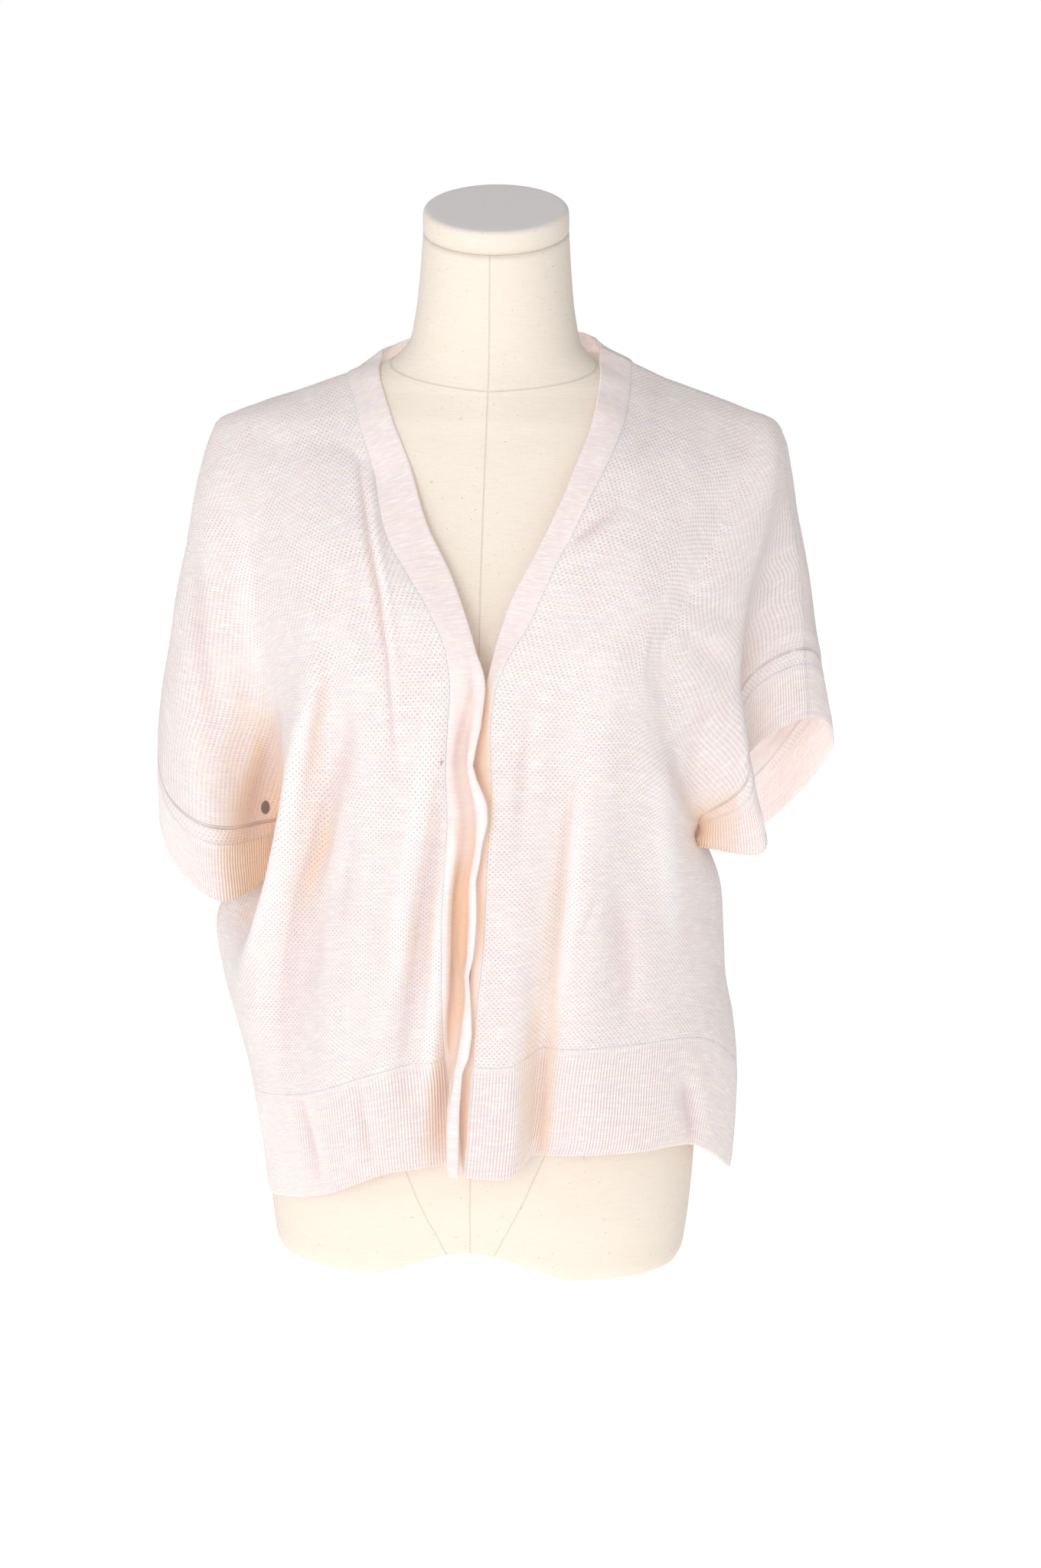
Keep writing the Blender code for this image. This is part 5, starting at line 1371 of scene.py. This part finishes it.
def make_form():
    """The dress form, and its faces as a tree for tests."""
    points, faces = close_rings(form_rings())
    x, y, z = points.T
    ahead = y < FRONT_LIMIT
    centre = np.where(ahead | (z > SHOULDER_HEIGHT), x, NO_SEAM)
    heights, spread = np.array(PRINCESS).T
    princess = np.where(ahead & (z < SHOULDER_HEIGHT),
                        np.abs(x) - np.interp(z, heights, spread), NO_SEAM)
    neck = z - (NECK_SEAM_HEIGHT + NECK_SEAM_SLOPE * y)
    thing = make_mesh("linen_form", points, faces,
                      {"seams": np.stack((centre, princess, neck), axis=1)})
    place_piece(thing, "dress_form", linen_look("form_linen", False))
    return BVHTree.FromPolygons([Vector(p) for p in points], faces)


def make_cap():
    points, faces = close_rings(cap_rings())
    top = np.zeros(len(points))
    top[CAP_GREY_RING * FORM_SIDES:-2] = 1.0
    top[-1] = 1.0
    thing = make_mesh("cap", points, faces,
                      {"seams": np.stack((top, top * 0.0, top * 0.0), axis=1)})
    place_piece(thing, "neck_cap", linen_look("cap_cloth", True))


def make_cloth(tree):
    """All the cloth pieces, draped clear of the form."""
    sheet, rib_grids = build_sheet()
    points = sheet.points()
    count = len(points)
    pieces = {name: np.concatenate(quads) for name, quads in sheet.quads.items()}
    quads = np.concatenate(list(pieces.values()))
    edges, border = neighbours(quads, count)
    in_band = np.zeros(count, bool)
    in_rest = np.zeros(count, bool)
    for name, own in pieces.items():
        (in_band if name.startswith("band") else in_rest)[np.unique(own)] = True
    fixed = border | in_band
    points = smooth(points, edges, fixed, CLOTH_ROUNDS)
    kinked = np.zeros(count, bool)
    corners = np.zeros(count, bool)
    for ids in sheet.ends:
        kinked[ids.ravel()] = True
        corners[ids[:, 0]] = True
    for _ in range(END_RINGS):
        kinked[edges[kinked[edges].any(axis=1)].ravel()] = True
    points = smooth(points, edges, fixed | corners | ~kinked, END_ROUNDS)
    normals = sheet_normals(points, quads)
    creased = soft_creases(points, normals)
    shift = unevenness(points) * np.where(border, UNEVEN_BORDER, 1.0) - creased
    points = points + normals * shift[:, None]
    needs = np.where(in_band, BAND_HALF, BODY_HALF) + CLEARANCE
    for _ in range(CLEAR_ROUNDS):
        points = clear_of_form(points, needs, tree)
        points = smooth(points, edges, fixed, 1, CLEAR_SOFTENING)
    points = clear_of_form(points, needs, tree)
    normals = sheet_normals(points, quads)
    # Hidden share of each point's outlook, with the crease depth, for the painted shade, highlight
    # and glow of the looks
    hidden = hidden_share(points, normals, quads, tree)
    relief = np.stack((creased, hidden, hidden * OUTSIDE_GLOW), axis=1)
    relief = smooth(relief, edges, np.zeros(count, bool), PAINTED_LIGHT_ROUNDS)
    stepped = np.stack((np.where(in_rest, BODY_HALF, BAND_HALF),) * 3, axis=1)
    band_half = smooth(stepped, edges, in_rest, BAND_ROUNDS)[:, 0]
    looks = {"knit": knit_look(), "rib": rib_look(), "band": band_look()}
    for name, own in pieces.items():
        cloth = np.zeros((count, 3))
        for ids, flat in sheet.flat[name]:
            cloth[ids, :2] = flat
        attributes = {"cloth": cloth, "relief": relief}
        if name in rib_grids:
            slot = "rib"
            thing = ribbed(name + "_cloth", rib_grids[name], points, normals, attributes, border)
        else:
            slot = "band" if name.startswith("band") else "knit"
            half = band_half if slot == "band" else BODY_HALF
            thing = shell(name + "_cloth", points, normals, half, own, attributes, border)
        place_piece(thing, name, looks[slot])


# Studio

CAMERA_DISTANCE = 2.80
CAMERA_ELEVATION = math.radians(11.0)
CAMERA_AZIMUTH = math.radians(4.0)
CAMERA_ROLL = math.radians(1.1)
CAMERA_TARGET = (0.024, 0.0, 0.353)
CAMERA_LENS = 87.89
PICTURE_HEIGHT = 36.0
CAMERA_END = 50.0


def make_camera():
    level = math.cos(CAMERA_ELEVATION)
    back = Vector((math.sin(CAMERA_AZIMUTH) * level, -math.cos(CAMERA_AZIMUTH) * level,
                   math.sin(CAMERA_ELEVATION)))
    side = (-back).cross(Vector((0.0, 0.0, 1.0))).normalized()
    top = side.cross(-back)
    c = math.cos(CAMERA_ROLL)
    s = math.sin(CAMERA_ROLL)
    right = side * c + top * s
    up = top * c - side * s
    target = Vector(CAMERA_TARGET) + Vector(FRAME_SHIFT * MM)
    data = bpy.data.cameras.new("camera")
    data.sensor_fit = "VERTICAL"
    data.sensor_height = PICTURE_HEIGHT
    data.lens = CAMERA_LENS
    data.clip_end = CAMERA_END
    camera = bpy.data.objects.new("camera", data)
    place = Matrix((right, up, back)).transposed().to_4x4()
    place.translation = target + back * CAMERA_DISTANCE
    camera.matrix_world = place
    bpy.context.scene.collection.objects.link(camera)
    bpy.context.scene.camera = camera


# Light of the room: level all round, what it gains from the wearer's right,
# from the front and from below, and what it loses towards both sides.  Then the
# soft light in front, the point it faces, and the white floor
ROOM_LEVEL = 0.79
ROOM_GAIN = (-0.07, -0.44, -0.17)
ROOM_SIDES = -0.22
KEY_POWER = 29.0
KEY_SIZE = 1.6
KEY_PLACE = (-0.8, -3.1, 0.75)
KEY_AIM = (0.0, 0.0, 0.4)
FLOOR_GLOW = 0.64
FLOOR_COLOUR = (0.80, 0.80, 0.80)
FLOOR_HALF = 4.0
FLOOR_DROP = 0.0005
WHITE = (1.0, 1.0, 1.0, 1.0)


def make_light():
    world = bpy.data.worlds.new("room")
    bpy.context.scene.world = world
    world.use_nodes = True
    room = Nodes(world.node_tree)
    way = room.new("ShaderNodeTexCoord").outputs["Generated"]
    slope = room.new("ShaderNodeVectorMath", operation="DOT_PRODUCT")
    room.fed(slope, way, ROOM_GAIN)
    aside = room.times(room.math("ABSOLUTE", room.split(way)[0]), ROOM_SIDES)
    level = room.plus(room.plus(slope.outputs["Value"], ROOM_LEVEL), aside)
    # The backdrop that the camera sees is plain white
    seen = room.new("ShaderNodeLightPath").outputs["Is Camera Ray"]
    background = room.tree.nodes["Background"]
    background.inputs["Color"].default_value = WHITE
    room.feed(background.inputs["Strength"], room.math("MAXIMUM", level, seen))
    data = bpy.data.lights.new("softbox", "AREA")
    data.energy = KEY_POWER
    data.size = KEY_SIZE
    light = bpy.data.objects.new("softbox", data)
    light.location = KEY_PLACE
    aim = Vector(KEY_AIM) - Vector(KEY_PLACE)
    light.rotation_euler = aim.to_track_quat("-Z", "Y").to_euler()
    bpy.context.scene.collection.objects.link(light)


def make_floor():
    mesh = bpy.data.meshes.new("floor")
    corners = [(FLOOR_HALF * x, FLOOR_HALF * y, 0.0)
               for x, y in ((-1, -1), (1, -1), (1, 1), (-1, 1))]
    mesh.from_pydata(corners, [], [(0, 1, 2, 3)])
    floor = bpy.data.objects.new("floor", mesh)
    floor.location.z = -FLOOR_DROP
    bpy.context.scene.collection.objects.link(floor)
    look = Look("floor", 0.9)
    look.colour(FLOOR_COLOUR)
    look.shader.inputs["Emission Color"].default_value = WHITE
    look.shader.inputs["Emission Strength"].default_value = FLOOR_GLOW
    mesh.materials.append(look.material)


def main():
    scene = bpy.context.scene
    scene.view_settings.view_transform = "Standard"
    make_camera()
    make_light()
    make_floor()
    tree = make_form()
    make_cap()
    make_cloth(tree)


main()
